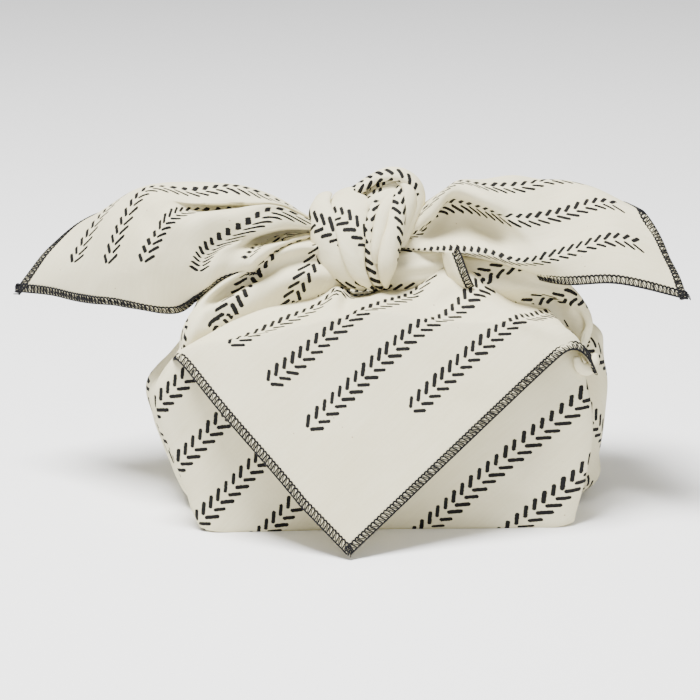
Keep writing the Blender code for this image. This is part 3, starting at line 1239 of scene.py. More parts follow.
@dataclass
class FrontFlap:
    """The corner of the cloth that comes over the top and down the front to its point."""

    wardrobe: Wardrobe
    flat: Place = (0.175, 0.15)
    faces: Point = (0.0, -1.0, 0.6)
    # Its plane: the point, the turn in degrees, the front edge that it hangs from, and its lift.
    tip: Point = (-17.0, -102.0, 0.9)
    turn: float = 2.2
    front: float = -58.0
    front_height: float = 93.0
    rise: float = 1.2
    # Its sheet: the outermost places, the first row, and how near to the cloth's edge counts as hem.
    left: float = -99.3
    right: float = 97.0
    first_row: float = 0.6
    hem_play: float = 0.3
    # The turn over the top: its depth and rounding, the trough behind it and the climb to the knot.
    top_depth: float = 50.0
    tuck: float = 0.14
    edge_radius: float = 9.0
    edge_drop: float = 0.5
    trough: float = 2.6
    trough_width: float = 9.0
    climb_start: float = 18.0
    # The left, which is drawn up and bends back round the bundle.
    drawn_up: float = 3.6
    drawn_start: float = 38.0
    drawn_reach: float = 14.0
    bend_start: float = 47.0
    bend_radius: float = 62.0
    wrap: float = 0.45
    # The right corner, which turns back and droops.
    corner_start: float = 75.0
    corner_radius: float = 26.0
    droop: float = 0.06
    droop_gap: float = 2.0
    crest: tuple[Crest, ...] = (
        Crest(-106, 72, 0.0), Crest(-99, 80, 0.0), Crest(-93, 84, 0.02), Crest(-87, 86.8, 0.04),
        Crest(-80, 88.8, 0.05), Crest(-68, 90.6, 0.05), Crest(-54, 93.2, 0.03), Crest(-41, 95.8, -0.03),
        Crest(-32, 97.4, -0.04), Crest(-25, 98.6, 0.02), Crest(-19, 99.8, 0.05), Crest(-13, 101, -0.12),
        Crest(-6, 102, -0.15), Crest(2, 101.6, -0.09), Crest(10, 100.2, -0.06), Crest(18, 98.4, 0.02),
        Crest(26, 97.4, 0.2), Crest(36, 97.2, 0.34), Crest(46, 97.4, 0.34), Crest(56, 97.4, 0.2),
        Crest(64, 97.2, 0.02), Crest(72, 96.6, -0.06), Crest(79, 95, -0.08), Crest(84, 91.8, 0.0),
        Crest(88, 87, 0.0), Crest(92, 81, 0.0), Crest(98, 73, 0.0),
    )
    creases: tuple[Crease, ...] = (
        Crease(Side.SEEN, (49.7, 25.1), (74.4, 13.2), (99, 3.5), 4.0, -1.8, 0.4),
        Crease(Side.SEEN, (56.3, 28.5), (79.2, 18.5), (101.2, 8.8), 5.0, 2.2, 0.4),
        Crease(Side.SEEN, (33, 17), (41, 22), (53, 29.5), 4.5, 2.6, 0.6),
        Crease(Side.SEEN, (18, 21), (28, 24), (40, 30), 5.0, -1.2, 0.6),
        Crease(Side.SEEN, (-4.8, 27.5), (-7.5, 21), (-13, 12), 3.6, -2.4, 0.2),
        Crease(Side.SEEN, (-0.5, 24), (-2.2, 17.6), (-5, 8), 3.8, 2.4, 0.2),
        Crease(Side.SEEN, (-60, 12), (-40, 17), (-14, 24), 6.0, -0.9, 0.6),
        Crease(Side.FRONT, (62, 64), (40, 62), (22, 66), 6, 0.5, 0.5),
        Crease(Side.FRONT, (84, 84), (74, 70), (66, 58), 6, -0.9, 0.4),
        Crease(Side.FRONT, (-92, 82), (-76, 70), (-60, 62), 8, 0.8, 0.3),
        Crease(Side.FRONT, (-20, 88), (-18, 50), (-17, 14), 16, -1.2, 0.5),
    )
    rumples: tuple[Rumple, ...] = (Rumple(52, 40, 0.8, 21), Rumple(19, 23, 0.2, 22))
    corner_fold: Strap = Strap(
        (
            Bend(85.5, -57, 77.5, 2.5, 2.5), Bend(86.3, -57.5, 74.5, 4, 3), Bend(88.4, -56.5, 72, 5.5, 4),
            Bend(91.4, -55, 71.4, 6, 4), Bend(94.2, -52.5, 73.4, 5, 3.5), Bend(95, -49.5, 76.5, 2.5, 2.5),
        ),
        Lay(0, 12.5, 0, 6), centre=(88, 0, 76), bow=0.01, boxiness=1.0,
    )

    def turn_over(self, x: np.ndarray) -> tuple[np.ndarray, np.ndarray]:
        """Read the turn over the front edge.

        Args:
            x: Places along the front edge.

        Returns:
            The height of the turn at each place, and the climb beyond it.
        """
        table = np.array(self.crest, float)
        at = np.clip(x, table[0, 0], table[-1, 0])
        return spline(table[:, 0], table[:, 1], at), spline(table[:, 0], table[:, 2], at)

    def points(self, across: np.ndarray, up: np.ndarray) -> np.ndarray:
        """Fold the flap.

        Args:
            across: Distance across from the point of the cloth.
            up: Distance up from the point of the cloth.

        Returns:
            The points of the folded flap.
        """
        turn = math.radians(self.turn)
        x = self.tip[0] + across * math.cos(turn) + up * math.sin(turn)
        rise = up * math.cos(turn) - across * math.sin(turn)
        drawn = np.maximum(0, -x - self.drawn_start) / self.drawn_reach
        rise = rise + self.drawn_up * (1 - np.exp(-drawn))
        rise = rise - self.droop * np.maximum(0, x - self.corner_start - self.droop_gap) ** 2
        height, climb = self.turn_over(x)
        lean = math.atan2(self.front - self.tip[1], self.front_height - self.tip[2])
        crest_rise = (height - self.tip[2]) / math.cos(lean)
        fall = np.minimum(rise - crest_rise, 0)
        over = np.maximum(rise - crest_rise, 0)
        rounding = self.edge_radius * self.edge_drop * np.exp(-(over - fall) / self.edge_radius)
        x = x * (1 - self.tuck * over / self.top_depth)
        bend = np.maximum(0, -x - self.bend_start) / self.bend_radius
        x = x + self.bend_radius * (bend - np.sin(bend))
        wrap = self.wrap * self.bend_radius * (1 - np.cos(bend))
        bend = np.maximum(0, x - self.corner_start) / self.corner_radius
        x = x - self.corner_radius * (bend - np.sin(bend))
        wrap = wrap + self.corner_radius * (1 - np.cos(bend))
        y = self.tip[1] + (crest_rise + fall) * math.sin(lean) + over + wrap
        z = self.tip[2] + (crest_rise + fall) * math.cos(lean) - rounding + self.rise
        z = z + climb * over * (1 - np.exp(-((over / self.climb_start) ** 2)))
        z = z - self.trough * over / self.trough_width * np.exp(1 - over / self.trough_width)
        return np.stack([x, y, np.maximum(z, self.tip[2])], axis=-1)

    def sheet(self) -> Sheet:
        """Lay the flap.

        Returns:
            The flap as a sheet of points.
        """
        reach = max(row.height for row in self.crest) + self.top_depth
        up = np.linspace(self.first_row, reach, round(reach / GRID_STEP))
        middle = self.tip[0] + up * math.sin(math.radians(self.turn))
        left = np.maximum(-up, self.left - middle)
        right = np.minimum(up, self.right - middle)
        share = np.linspace(0, 1, round((self.right - self.left) / GRID_STEP))[None]
        across = left[:, None] * (1 - share) + right[:, None] * share
        rows = up[:, None] + np.zeros_like(across)
        cloth = CLOTH.from_diagonals(across, CLOTH.reach - rows)
        made = Sheet(self.points(across, rows), cloth).face(self.faces)
        return made.rumple(self.rumples).press(self.creases)

    def build(self, hems: "SergedHem") -> bpy.types.Object:
        """Make the piece and its two hems.

        Args:
            hems: The machine that sews the hems.

        Returns:
            The object.
        """
        sheet = self.sheet()
        piece = finished("front_flap", [sheet, self.corner_fold.sheet()], self.wardrobe)
        declare(piece, self.flat)
        lines = []
        for edge in (Edge.FIRST_COLUMN, Edge.LAST_COLUMN):
            line, inward, facing = sheet.hem(edge)
            cloth = sheet.cloth[:, 0 if edge is Edge.FIRST_COLUMN else -1]
            kept = np.abs(np.abs(cloth) - CLOTH.half).min(axis=1) < self.hem_play
            lines.append((line[kept], inward[kept], facing[kept]))
        hems.sew("flap_hem", lines)
        return piece


# --------------------------------------------------------------------------- arms


class Ring(NamedTuple):
    """A ring across an arm, with a point on each roll and in each crease."""

    low_front: Point
    front_roll: Point
    crease_two: Point
    middle_roll: Point
    crease_one: Point
    crown: Point
    back_roll: Point
    low_back: Point
    inside_back: Point
    inside_front: Point


@dataclass
class GatheredArm:
    """A side corner of the cloth, gathered over the bundle's shoulder to the knot."""

    name: str
    wardrobe: Wardrobe
    rings: tuple[Ring, ...]
    creases: tuple[Crease, ...]
    lay: Lay
    flat: Place
    straps: tuple[Strap, ...] = ()
    rumples: tuple[Rumple, ...] = (Rumple(24, 16, 0.5, 31), Rumple(9, 11, 0.15, 32))

    def build(self) -> bpy.types.Object:
        """Make the piece.

        Returns:
            The object.
        """
        smooth = loft(self.rings, ringed=True)
        folded = ring_sheet(smooth, self.lay).face_out()
        turned = not np.allclose(folded.points[0], smooth[0])
        folded.rumple(self.rumples).press(self.creases)
        pressed = folded.points[::-1] if turned else folded.points
        sheets = [ring_sheet(pressed, self.lay).face_out()]
        sheets += [strap.sheet().rumple(self.rumples) for strap in self.straps]
        piece = finished(self.name, sheets, self.wardrobe)
        declare(piece, self.flat)
        return piece


def left_arm(wardrobe: Wardrobe) -> GatheredArm:
    """The arm over the left shoulder.

    Args:
        wardrobe: The finishes.

    Returns:
        The arm, ready to build.
    """
    rings = (
        Ring(
            (-80, -42, 52), (-83, -38, 53), (-81, -32, 54), (-86, -24, 54), (-87, -16, 54),
            (-95, 2, 53), (-82, 28, 52), (-76, 40, 50), (-66, 30, 48), (-66, -30, 48),
        ),
        Ring(
            (-85, -47, 79), (-88, -46, 82), (-88, -41, 84), (-89, -36, 84), (-88, -30, 85),
            (-85, -4, 82), (-83, 32, 80), (-79, 44, 74), (-70, 36, 68), (-70, -34, 68),
        ),
        Ring(
            (-79, -46, 91), (-79, -43, 96), (-79, -40, 96.5), (-81, -37, 98), (-80, -31, 98.5),
            (-78, -6, 103), (-75, 26, 98), (-72, 41, 88), (-64, 32, 78), (-64, -34, 80),
        ),
        Ring(
            (-69, -39, 93), (-70, -37.5, 100), (-70, -31, 101), (-71, -34, 106), (-71, -26, 106.5),
            (-68, -5, 112), (-66, 24, 105), (-64, 38, 91), (-58, 30, 80), (-58, -32, 82),
        ),
        Ring(
            (-56.5, -33, 93), (-57.5, -31, 104), (-58, -24, 105.5), (-57, -27, 112.5), (-57, -20, 113),
            (-57, -3, 118), (-56, 22, 112), (-55, 35, 96), (-51, 26, 83), (-51, -26, 84),
        ),
        Ring(
            (-36, -24, 96), (-36, -27, 108), (-36, -18, 113.5), (-36, -21, 120), (-37, -14, 120.5),
            (-37, -2, 124), (-36, 14, 118), (-34, 24, 100), (-32, 16, 86), (-32, -18, 88),
        ),
        Ring(
            (-12, -16, 102), (-12, -16, 107), (-12, -12, 111), (-12, -12, 114), (-12, -8, 116),
            (-12, 0, 118), (-12, 8, 114), (-12, 12, 104), (-12, 9, 98), (-12, -10, 98),
        ),
    )
    creases = (
        Crease(Side.SEEN, (-64, 18.5), (-53.7, 26), (-26, 42), 2.6, 2.6, 0.6),
        Crease(Side.SEEN, (-60, 12), (-46, 20), (-26, 32), 3.5, -1.2, 0.5),
        Crease(Side.SEEN, (-34, 22), (-24, 26), (-12, 29), 3.0, 0.8, 0.5),
        Crease(Side.TOP, (-82, 4), (-58, 2), (-30, 2), 5, 2.0, 0.6),
        Crease(Side.TOP, (-80, 22), (-56, 14), (-30, 8), 5, 2.0, 0.6),
        Crease(Side.LEFT, (-20, 96), (-16, 80), (-12, 60), 4, 2.0, 0.4),
        Crease(Side.LEFT, (12, 98), (10, 80), (6, 62), 4, 2.0, 0.4),
    )
    return GatheredArm("left_arm", wardrobe, rings, creases, Lay(60.3, 16.9, 61, 22), flat=(0.15, 0.13))


def right_arm(wardrobe: Wardrobe) -> GatheredArm:
    """The arm over the right shoulder.

    Args:
        wardrobe: The finishes.

    Returns:
        The arm, ready to build.
    """
    rings = (
        Ring(
            (79, -42, 50), (81, -38, 51), (80, -31, 52), (85, -24, 52), (86, -16, 52),
            (95, 2, 51), (84, 30, 50), (76, 42, 48), (68, 32, 46), (68, -30, 46),
        ),
        Ring(
            (87, -24, 80), (91, -29, 83), (94, -29, 86.5), (96.5, -25, 87), (96, -19, 87.5),
            (95, -2, 86), (91, 30, 82), (84, 44, 77), (74, 36, 69), (74, -34, 69),
        ),
        Ring(
            (78, -25, 91), (79, -29, 97), (80, -31, 102), (81, -30, 106.5), (80, -24, 107.5),
            (78, -6, 107), (76, 26, 100), (73, 40, 89), (64, 32, 79), (64, -34, 82),
        ),
        Ring(
            (56, -28, 97), (56, -31, 104), (56, -27, 108.5), (56.5, -25, 112.5), (55, -20, 113),
            (53, -6, 116), (52, 22, 109), (50, 35, 94), (48, 26, 84), (48, -24, 86),
        ),
        Ring(
            (41, -24, 100), (41, -25, 106), (40, -21, 111), (39.5, -19, 114), (39, -15, 114.5),
            (38, -5, 117), (39, 17, 111), (38, 29, 96), (36, 22, 86), (36, -18, 88),
        ),
        Ring(
            (31, -18, 104), (30, -19, 109), (29, -16, 112), (28, -14, 114), (27, -12, 115),
            (27, -4, 118), (28, 14, 113), (28, 25, 98), (27, 18, 87), (26, -16, 90),
        ),
        Ring(
            (2, -12, 101), (2, -12, 106), (2, -10, 110), (2, -8, 112), (2, -6, 114),
            (2, 0, 116), (2, 8, 113), (2, 12, 104), (2, 9, 98), (2, -8, 98),
        ),
    )
    creases = (
        Crease(Side.SEEN, (73.5, 25.1), (85.8, 21.6), (97, 18.5), 2.4, 2.8, 0.5),
        Crease(Side.SEEN, (72, 22), (85, 18.5), (96, 15), 2.4, -1.0, 0.5),
        Crease(Side.SEEN, (78, 29.5), (90, 28), (100, 24), 2.2, 1.6, 0.5),
        Crease(Side.SEEN, (58, 33), (66, 29), (74, 27), 2.5, 1.4, 0.5),
        Crease(Side.SEEN, (98, 19), (102, 10), (104, 2), 3.0, 4.5, 0.5),
        Crease(Side.TOP, (82, 6), (58, 4), (30, 2), 5, 2.0, 0.6),
        Crease(Side.TOP, (80, 24), (56, 16), (30, 8), 5, 2.0, 0.6),
        Crease(Side.RIGHT, (-18, 92), (-14, 78), (-10, 58), 4, 2.0, 0.4),
        Crease(Side.RIGHT, (14, 92), (12, 78), (8, 60), 4, 2.0, 0.4),
    )
    root = Strap(
        (
            Bend(46, -8, 107, 17, 14), Bend(30, -11, 108, 20, 16), Bend(13, -13, 107, 21, 16),
            Bend(-4, -12, 105, 17, 14),
        ),
        Lay(20, -12, 0, 9), centre=(20, 10, 98), bow=0.012, ripples=3, ripple=0.06, boxiness=1.0,
    )
    lay = Lay(54.7, 7.3, 135, 5, 0.6)
    return GatheredArm("right_arm", wardrobe, rings, creases, lay, flat=(0.16, 0.14), straps=(root,))


# --------------------------------------------------------------------------- knot


@dataclass(frozen=True)
class Lump:
    """A rounded lump of gathered cloth."""

    middle: Point
    radii: Point
    lay: Lay

    def sheet(self, step: float = 1.2) -> Sheet:
        """The lump as a ringed sheet.

        Args:
            step: Distance between two points.

        Returns:
            The sheet.
        """
        rows = round(math.pi * max(self.radii) / step)
        tilt = np.linspace(0.0, math.pi, rows)[:, None]
        turn = np.arange(rows * 2) / (rows * 2) * 2 * math.pi
        ball = [np.sin(tilt) * np.cos(turn), np.sin(tilt) * np.sin(turn), np.cos(tilt) + 0 * turn]
        points = np.array(self.middle) + np.stack(ball, axis=-1) * np.array(self.radii)
        return ring_sheet(points, self.lay).face_out()


@dataclass
class Knot:
    """The square knot: the band across its front, the rolls beside it and the loop on top."""

    wardrobe: Wardrobe
    left_band: Strap = Strap(
        (
            Bend(-24.8, 3, 138.1, 11, 4), Bend(-27, -4, 134.9, 13, 4),
            Bend(-25.6, -14, 127.3, 16.5, 4.2), Bend(-23.1, -19, 118.3, 16, 4.2),
            Bend(-18.3, -22, 110.6, 13.5, 4), Bend(-12.2, -23, 104.8, 9, 3.6),
            Bend(-5.8, -21, 100.5, 4, 3),
        ),
        Lay(20.5, -2.0, -45.0, 4),
    )
    right_band: Strap = Strap(
        (
            Bend(-12, 4, 140.6, 18.3, 4), Bend(-13.7, -5, 138.3, 19.5, 4),
            Bend(-12.8, -16.5, 132.9, 16.7, 4.4), Bend(-12.6, -23, 126, 13.5, 4.4),
            Bend(-12.1, -26, 119.4, 10.9, 4.2), Bend(-10.4, -28, 112, 8.2, 4),
            Bend(-6.8, -27, 105.4, 5, 3.6), Bend(-3.2, -23, 101, 2.6, 2.6),
        ),
        Lay(25.0, 1.0, -43.0, 5),
    )
    strip: Strap = Strap(
        (
            Bend(0, -12, 138.2, 5, 3.6), Bend(-2.3, -17, 134.2, 5.4, 3.6),
            Bend(-4.1, -21, 127.7, 6.4, 3.6), Bend(-4.6, -23.5, 120.5, 7, 3.6),
            Bend(-3.8, -25, 113.5, 6, 3.4), Bend(-2, -25, 107, 5, 3.2),
            Bend(0.5, -22, 101.2, 2.6, 2.6),
        ),
        Lay(10.0, 1.5, -8.0, 7),
    )
    smooth_roll: Strap = Strap(
        (
            Bend(11.4, -2, 142, 6, 5), Bend(7.3, -10, 139.5, 7.2, 5.4),
            Bend(3.4, -16.5, 135.8, 7.8, 5.4), Bend(1.2, -21, 130.2, 7.2, 5.2),
            Bend(-0.4, -24, 124.4, 6, 4.8), Bend(-1.5, -25.5, 118.7, 4.8, 4.2),
            Bend(-1.5, -25, 113.7, 3.6, 3.4),
        ),
        Lay(0.0, 12.5, 0.0, 8),
    )
    front_roll: Strap = Strap(
        (
            Bend(11.3, -3, 143.1, 6.4, 5), Bend(9.9, -12, 139.9, 7.2, 5.4),
            Bend(8.7, -18.5, 134.3, 8, 6), Bend(7.3, -23, 127.8, 8.6, 6.6),
            Bend(5.1, -26.5, 121.3, 9.2, 7), Bend(3.7, -28.5, 114.9, 9.2, 6.6),
            Bend(2.8, -27.5, 108.5, 6.6, 5.4), Bend(3.1, -23.5, 102.1, 2.4, 3),
        ),
        Lay(18.0, 0.0, -22.0, 6),
    )
    outer_loop: Strap = Strap(
        (
            Bend(-12.8, 6, 134, 7, 3.7), Bend(-12.4, 4, 138.2, 7.5, 3.7),
            Bend(-8, 1, 142.5, 8, 3.6), Bend(-2.7, -1, 146.6, 8, 3.9),
            Bend(3.1, -3, 149.4, 8.5, 4.1), Bend(8.5, -4, 150.2, 8.5, 4.5),
            Bend(13.9, -5, 148.5, 8.5, 4.5), Bend(17.5, -6, 145.2, 8, 4.1),
            Bend(19, -7, 140.5, 8, 4.1), Bend(17.8, -9, 135, 8, 4.5),
            Bend(14.9, -12, 130, 8, 4.5), Bend(12.3, -14, 125, 7, 4.1),
            Bend(10.3, -13, 118.5, 6, 3.4),
        ),
        Lay(24.0, 3.5, 10.0, 9), centre=(1.0, 4.0, 132.0), bow=0.02,
    )
    inner_loop: Strap = Strap(
        (
            Bend(11.3, -3, 146.6, 7, 3.6), Bend(14.3, -8, 143.8, 7.5, 4.5),
            Bend(14.4, -11.5, 139.5, 8, 5), Bend(12.6, -14.5, 134.1, 8, 5),
            Bend(10.9, -16.5, 128.6, 7, 4.5), Bend(9.5, -16.5, 121.8, 6, 3.6),
        ),
        Lay(0.0, 12.0, 0.0, 10), centre=(1.0, 4.0, 132.0), bow=0.02,
    )
    pleats: tuple[Strap, ...] = (
        Strap(
            (
                Bend(-4.8, 2, 135.6, 7, 4.1), Bend(-1.6, 1, 140.4, 8, 4.6),
                Bend(2, 0, 144, 8, 4.5), Bend(6.4, -1, 146.4, 7, 4.1),
                Bend(11, -1, 146.6, 6, 3.6),
            ),
            Lay(9.0, 3.0, 62.0, 11), centre=(1.0, 6.0, 128.0), bow=0.0,
        ),
        Strap(
            (
                Bend(-5, -3, 135, 7, 4.1), Bend(-0.5, -4, 138.8, 8, 5),
                Bend(4, -4, 142, 8, 5), Bend(8.1, -4, 144.6, 7, 4.1),
                Bend(11.6, -3, 145.8, 6, 3.2),
            ),
            Lay(7.0, 3.0, 70.0, 12), centre=(1.0, 6.0, 126.0), bow=0.0,
        ),
        Strap(
            (
                Bend(-4.4, -9, 134.6, 8, 4.6), Bend(-0.4, -10, 137.4, 9, 5.4),
                Bend(4.1, -10, 139.4, 9, 5.4), Bend(9.6, -8, 140.8, 8, 4.4),
            ),
            Lay(6.0, 9.0, 20.0, 13), centre=(1.0, 6.0, 124.0), bow=0.0,
        ),
    )
    back_band: Strap = Strap(
        (
            Bend(-27, 4, 112, 16, 12), Bend(-14, 13, 114, 19, 13), Bend(1, 14, 119, 19, 13),
            Bend(14, 5, 125, 16, 12),
        ),
        Lay(20.0, 6.0, 30.0, 14), centre=(-6.0, 0.0, 116.0), bow=0.0, ripples=3, ripple=0.12, boxiness=1.0,
    )
    core: Lump = Lump((-9, 0, 118), (19, 16, 20), Lay(0, 0, 40, 10))
    filling: Lump = Lump((2, 4, 137), (12, 6, 8), Lay(12, 0, 70, 11))
    band_flat: Place = (0.062, 0.052)
    loop_flat: Place = (0.11, 0.06)
    core_flat: Place = (0.12, 0.072)
    creases: tuple[Crease, ...] = (
        Crease(Side.SEEN, (2.2, 50.0), (4.0, 43.0), (7.3, 30.4), 1.1, 1.0, 0.5),
        Crease(Side.SEEN, (-16.3, 64.0), (-13.6, 54.0), (-11.0, 40.0), 1.2, 0.8, 0.4),
        Crease(Side.SEEN, (-8.0, 63.0), (-5.5, 52.0), (2.0, 34.0), 2.5, -0.5, 0.5),
    )
    rumples: tuple[Rumple, ...] = (Rumple(8, 6, 0.28, 41), Rumple(3.5, 4.5, 0.08, 42))

    def build(self) -> None:
        """Make the three pieces of the knot: the band in front, the loop and what they hold."""
        loop = (self.smooth_roll, self.front_roll, self.outer_loop, self.inner_loop, *self.pleats)
        for name, strands, flat in (
            ("knot_band", (self.left_band, self.right_band, self.strip), self.band_flat),
            ("knot_loop", loop, self.loop_flat),
            ("knot_core", (self.core, self.filling, self.back_band), self.core_flat),
        ):
            sheets = [strand.sheet().rumple(self.rumples).press(self.creases) for strand in strands]
            declare(finished(name, sheets, self.wardrobe), flat)


# --------------------------------------------------------------------------- spread ends


class Line(NamedTuple):
    """A line of the cloth at a set distance from a hem, from the other hem to the knot."""

    off_hem: float
    hem: Point
    low: Point
    middle: Point
    high: Point
    turn: Point
    over: Point
    neck: Point
    root: Point


# Shares of the way from the other hem to the knot, for the points of a line.
LINE_SHARES = (0.0, 0.16, 0.30, 0.44, 0.58, 0.72, 0.86, 1.0)


@dataclass
class SpreadEnd:
    """One free end of the cloth, from its corner to where it goes into the knot.

    Its side is -1 on the left and 1 on the right.
    """

    name: str
    wardrobe: Wardrobe
    lines: tuple[Line, ...]
    side: int
    creases: tuple[Crease, ...]
    shown_area: float
    reach: float = 198.0
    column_share: float = 0.8
    rumples: tuple[Rumple, ...] = (Rumple(34, 26, 0.5, 51), Rumple(13, 15, 0.16, 52))

    def sheet(self) -> Sheet:
        """Lay the end.

        Returns:
            The end as a sheet of points.
        """
        off = np.array([line.off_hem for line in self.lines], float)
        coarse = np.array([tuple(line[1:]) for line in self.lines], float)
        shares = np.array(LINE_SHARES)
        columns = np.linspace(0, 1, round(self.reach * self.column_share / GRID_STEP))
        rows = evenly(off[-1], GRID_STEP)
        across = np.stack([spline(shares, row, columns) for row in coarse])
        points = spline(off, across, rows)
        other = (self.reach - rows)[:, None] * columns[None]
        near = rows[:, None] + np.zeros_like(other)
        return Sheet(points, self.side * (CLOTH.half - np.stack([other, near], axis=-1)))

    def build(self, hems: "SergedHem") -> bpy.types.Object:
        """Make the piece and its hems.

        Args:
            hems: The machine that sews the hems.

        Returns:
            The object.
        """
        sheet = self.sheet()
        sheet.rumple(self.rumples).press(self.creases)
        piece = finished(self.name, [sheet], self.wardrobe)
        declare(piece, (self.reach * MM, self.reach * MM), area=self.shown_area)
        hems.sew(self.name + "_hem", [sheet.hem(Edge.FIRST_ROW), sheet.hem(Edge.FIRST_COLUMN)])
        return piece


def left_end(wardrobe: Wardrobe) -> SpreadEnd:
    """The end that spreads to the left.

    Args:
        wardrobe: The finishes.

    Returns:
        The end, ready to build.
    """
    lines = (
        Line(
            0, (-168, 30, 89), (-151, 30, 110), (-135, 38, 121), (-118, 47, 124),
            (-99, 50, 126), (-79, 44, 125), (-55, 30, 122), (-29, 12, 118),
        ),
        Line(
            23, (-149, 16, 90), (-138, 8, 109), (-125, 10, 129), (-111, 22, 138),
            (-92, 28, 139), (-69, 28, 136), (-47, 20, 131), (-28, 8, 122),
        ),
        Line(
            36, (-139, 6, 90), (-130, -3, 110), (-121, -3, 130), (-108, 6, 142),
            (-88, 10, 144), (-64, 12, 142), (-44, 10, 136), (-27, 6, 124),
        ),
        Line(
            48, (-130, -4, 91), (-123, -12, 110), (-115, -11, 129), (-104, -5, 144),
            (-83, -6, 143), (-63, -3, 144), (-42, 3, 135), (-26, 4, 126),
        ),
        Line(
            60, (-119, -12, 92), (-115, -20, 110), (-109, -21, 127), (-99, -18, 141),
            (-84, -18, 140), (-66, -17, 139), (-45, -11, 138), (-25, 0, 126),
        ),
        Line(
            67, (-114, -16, 92), (-111, -25, 111), (-105, -27, 126), (-94, -22, 139),
            (-83, -15, 138), (-65, -11, 135.5), (-45, -7, 134.5), (-25, -1, 125),
        ),
        Line(
            73, (-108, -20, 92), (-107, -30, 111), (-101, -31, 126), (-93, -28, 136),
            (-83, -17, 136.5), (-65, -11, 134.5), (-44, -8, 134), (-25, -2, 124),
        ),
        Line(
            85, (-96, -24, 91), (-95, -31, 108), (-93, -32, 119), (-87, -31, 129),
            (-77, -27, 136), (-64, -21, 138), (-46, -15, 138), (-26, -4, 126),
        ),
        Line(
            98, (-87, -25, 93), (-83, -30, 106), (-80, -32, 114), (-78, -30, 119),
            (-71, -26, 124), (-59, -22, 130), (-46, -17, 136), (-27, -8, 128),
        ),
        Line(
            106, (-81, -26, 98), (-77, -31, 106), (-74, -32, 114), (-70, -29, 120),
            (-61, -25, 124), (-52, -22, 127), (-42, -18, 129), (-29, -10, 126),
        ),
        Line(
            115, (-73, -27, 104), (-71, -30, 109), (-67, -30, 115), (-62, -26, 119),
            (-57, -16, 121), (-50, -10, 123), (-41, -7, 124), (-29, -6, 124),
        ),
        Line(
            125, (-65, -27, 108), (-63, -30, 112), (-59, -30, 116), (-55, -26, 120),
            (-52, -18, 121), (-47, -12, 122), (-41, -9, 124), (-30, -7, 124),
        ),
        Line(
            137, (-59, -22, 108), (-58, -27, 111), (-56, -30, 115), (-54, -30, 118),
            (-50, -28, 121), (-45, -23, 122), (-39, -17, 123), (-30, -10, 123),
        ),
        Line(
            150, (-55, -12, 104), (-54, -15, 107), (-53, -18, 110), (-50, -19, 113),
            (-47, -18, 116), (-43, -15, 118), (-37, -12, 120), (-29, -8, 121),
        ),
        Line(
            170, (-47, -6, 108), (-46, -7, 109), (-45, -8, 111), (-43, -9, 112),
            (-41, -9, 114), (-38, -8, 116), (-34, -7, 118), (-29, -6, 120),
        ),
    )
    creases = (
        Crease(Side.SEEN, (-64.7, 63.4), (-52.8, 62.6), (-37.4, 66), 3.0, 1.8, 0.5),
        Crease(Side.SEEN, (-54.6, 46.8), (-37.8, 49.6), (-20.2, 50.6), 2.4, 4.0, 0.6),
        Crease(Side.SEEN, (-44, 39.5), (-30.8, 44.6), (-20.2, 48), 2.6, -1.6, 0.6),
        Crease(Side.SEEN, (-92.4, 63.8), (-88, 56.3), (-81.4, 44), 6.0, 1.4, 0.4),
        Crease(Side.SEEN, (-55.9, 50.2), (-63, 41), (-71, 31), 3.5, 1.4, 0.4),
        Crease(Side.SEEN, (-60, 56), (-45, 56), (-24, 56.5), 5.0, -1.2, 0.6),
    )
    return SpreadEnd("left_end", wardrobe, lines, -1, creases, shown_area=0.0172)


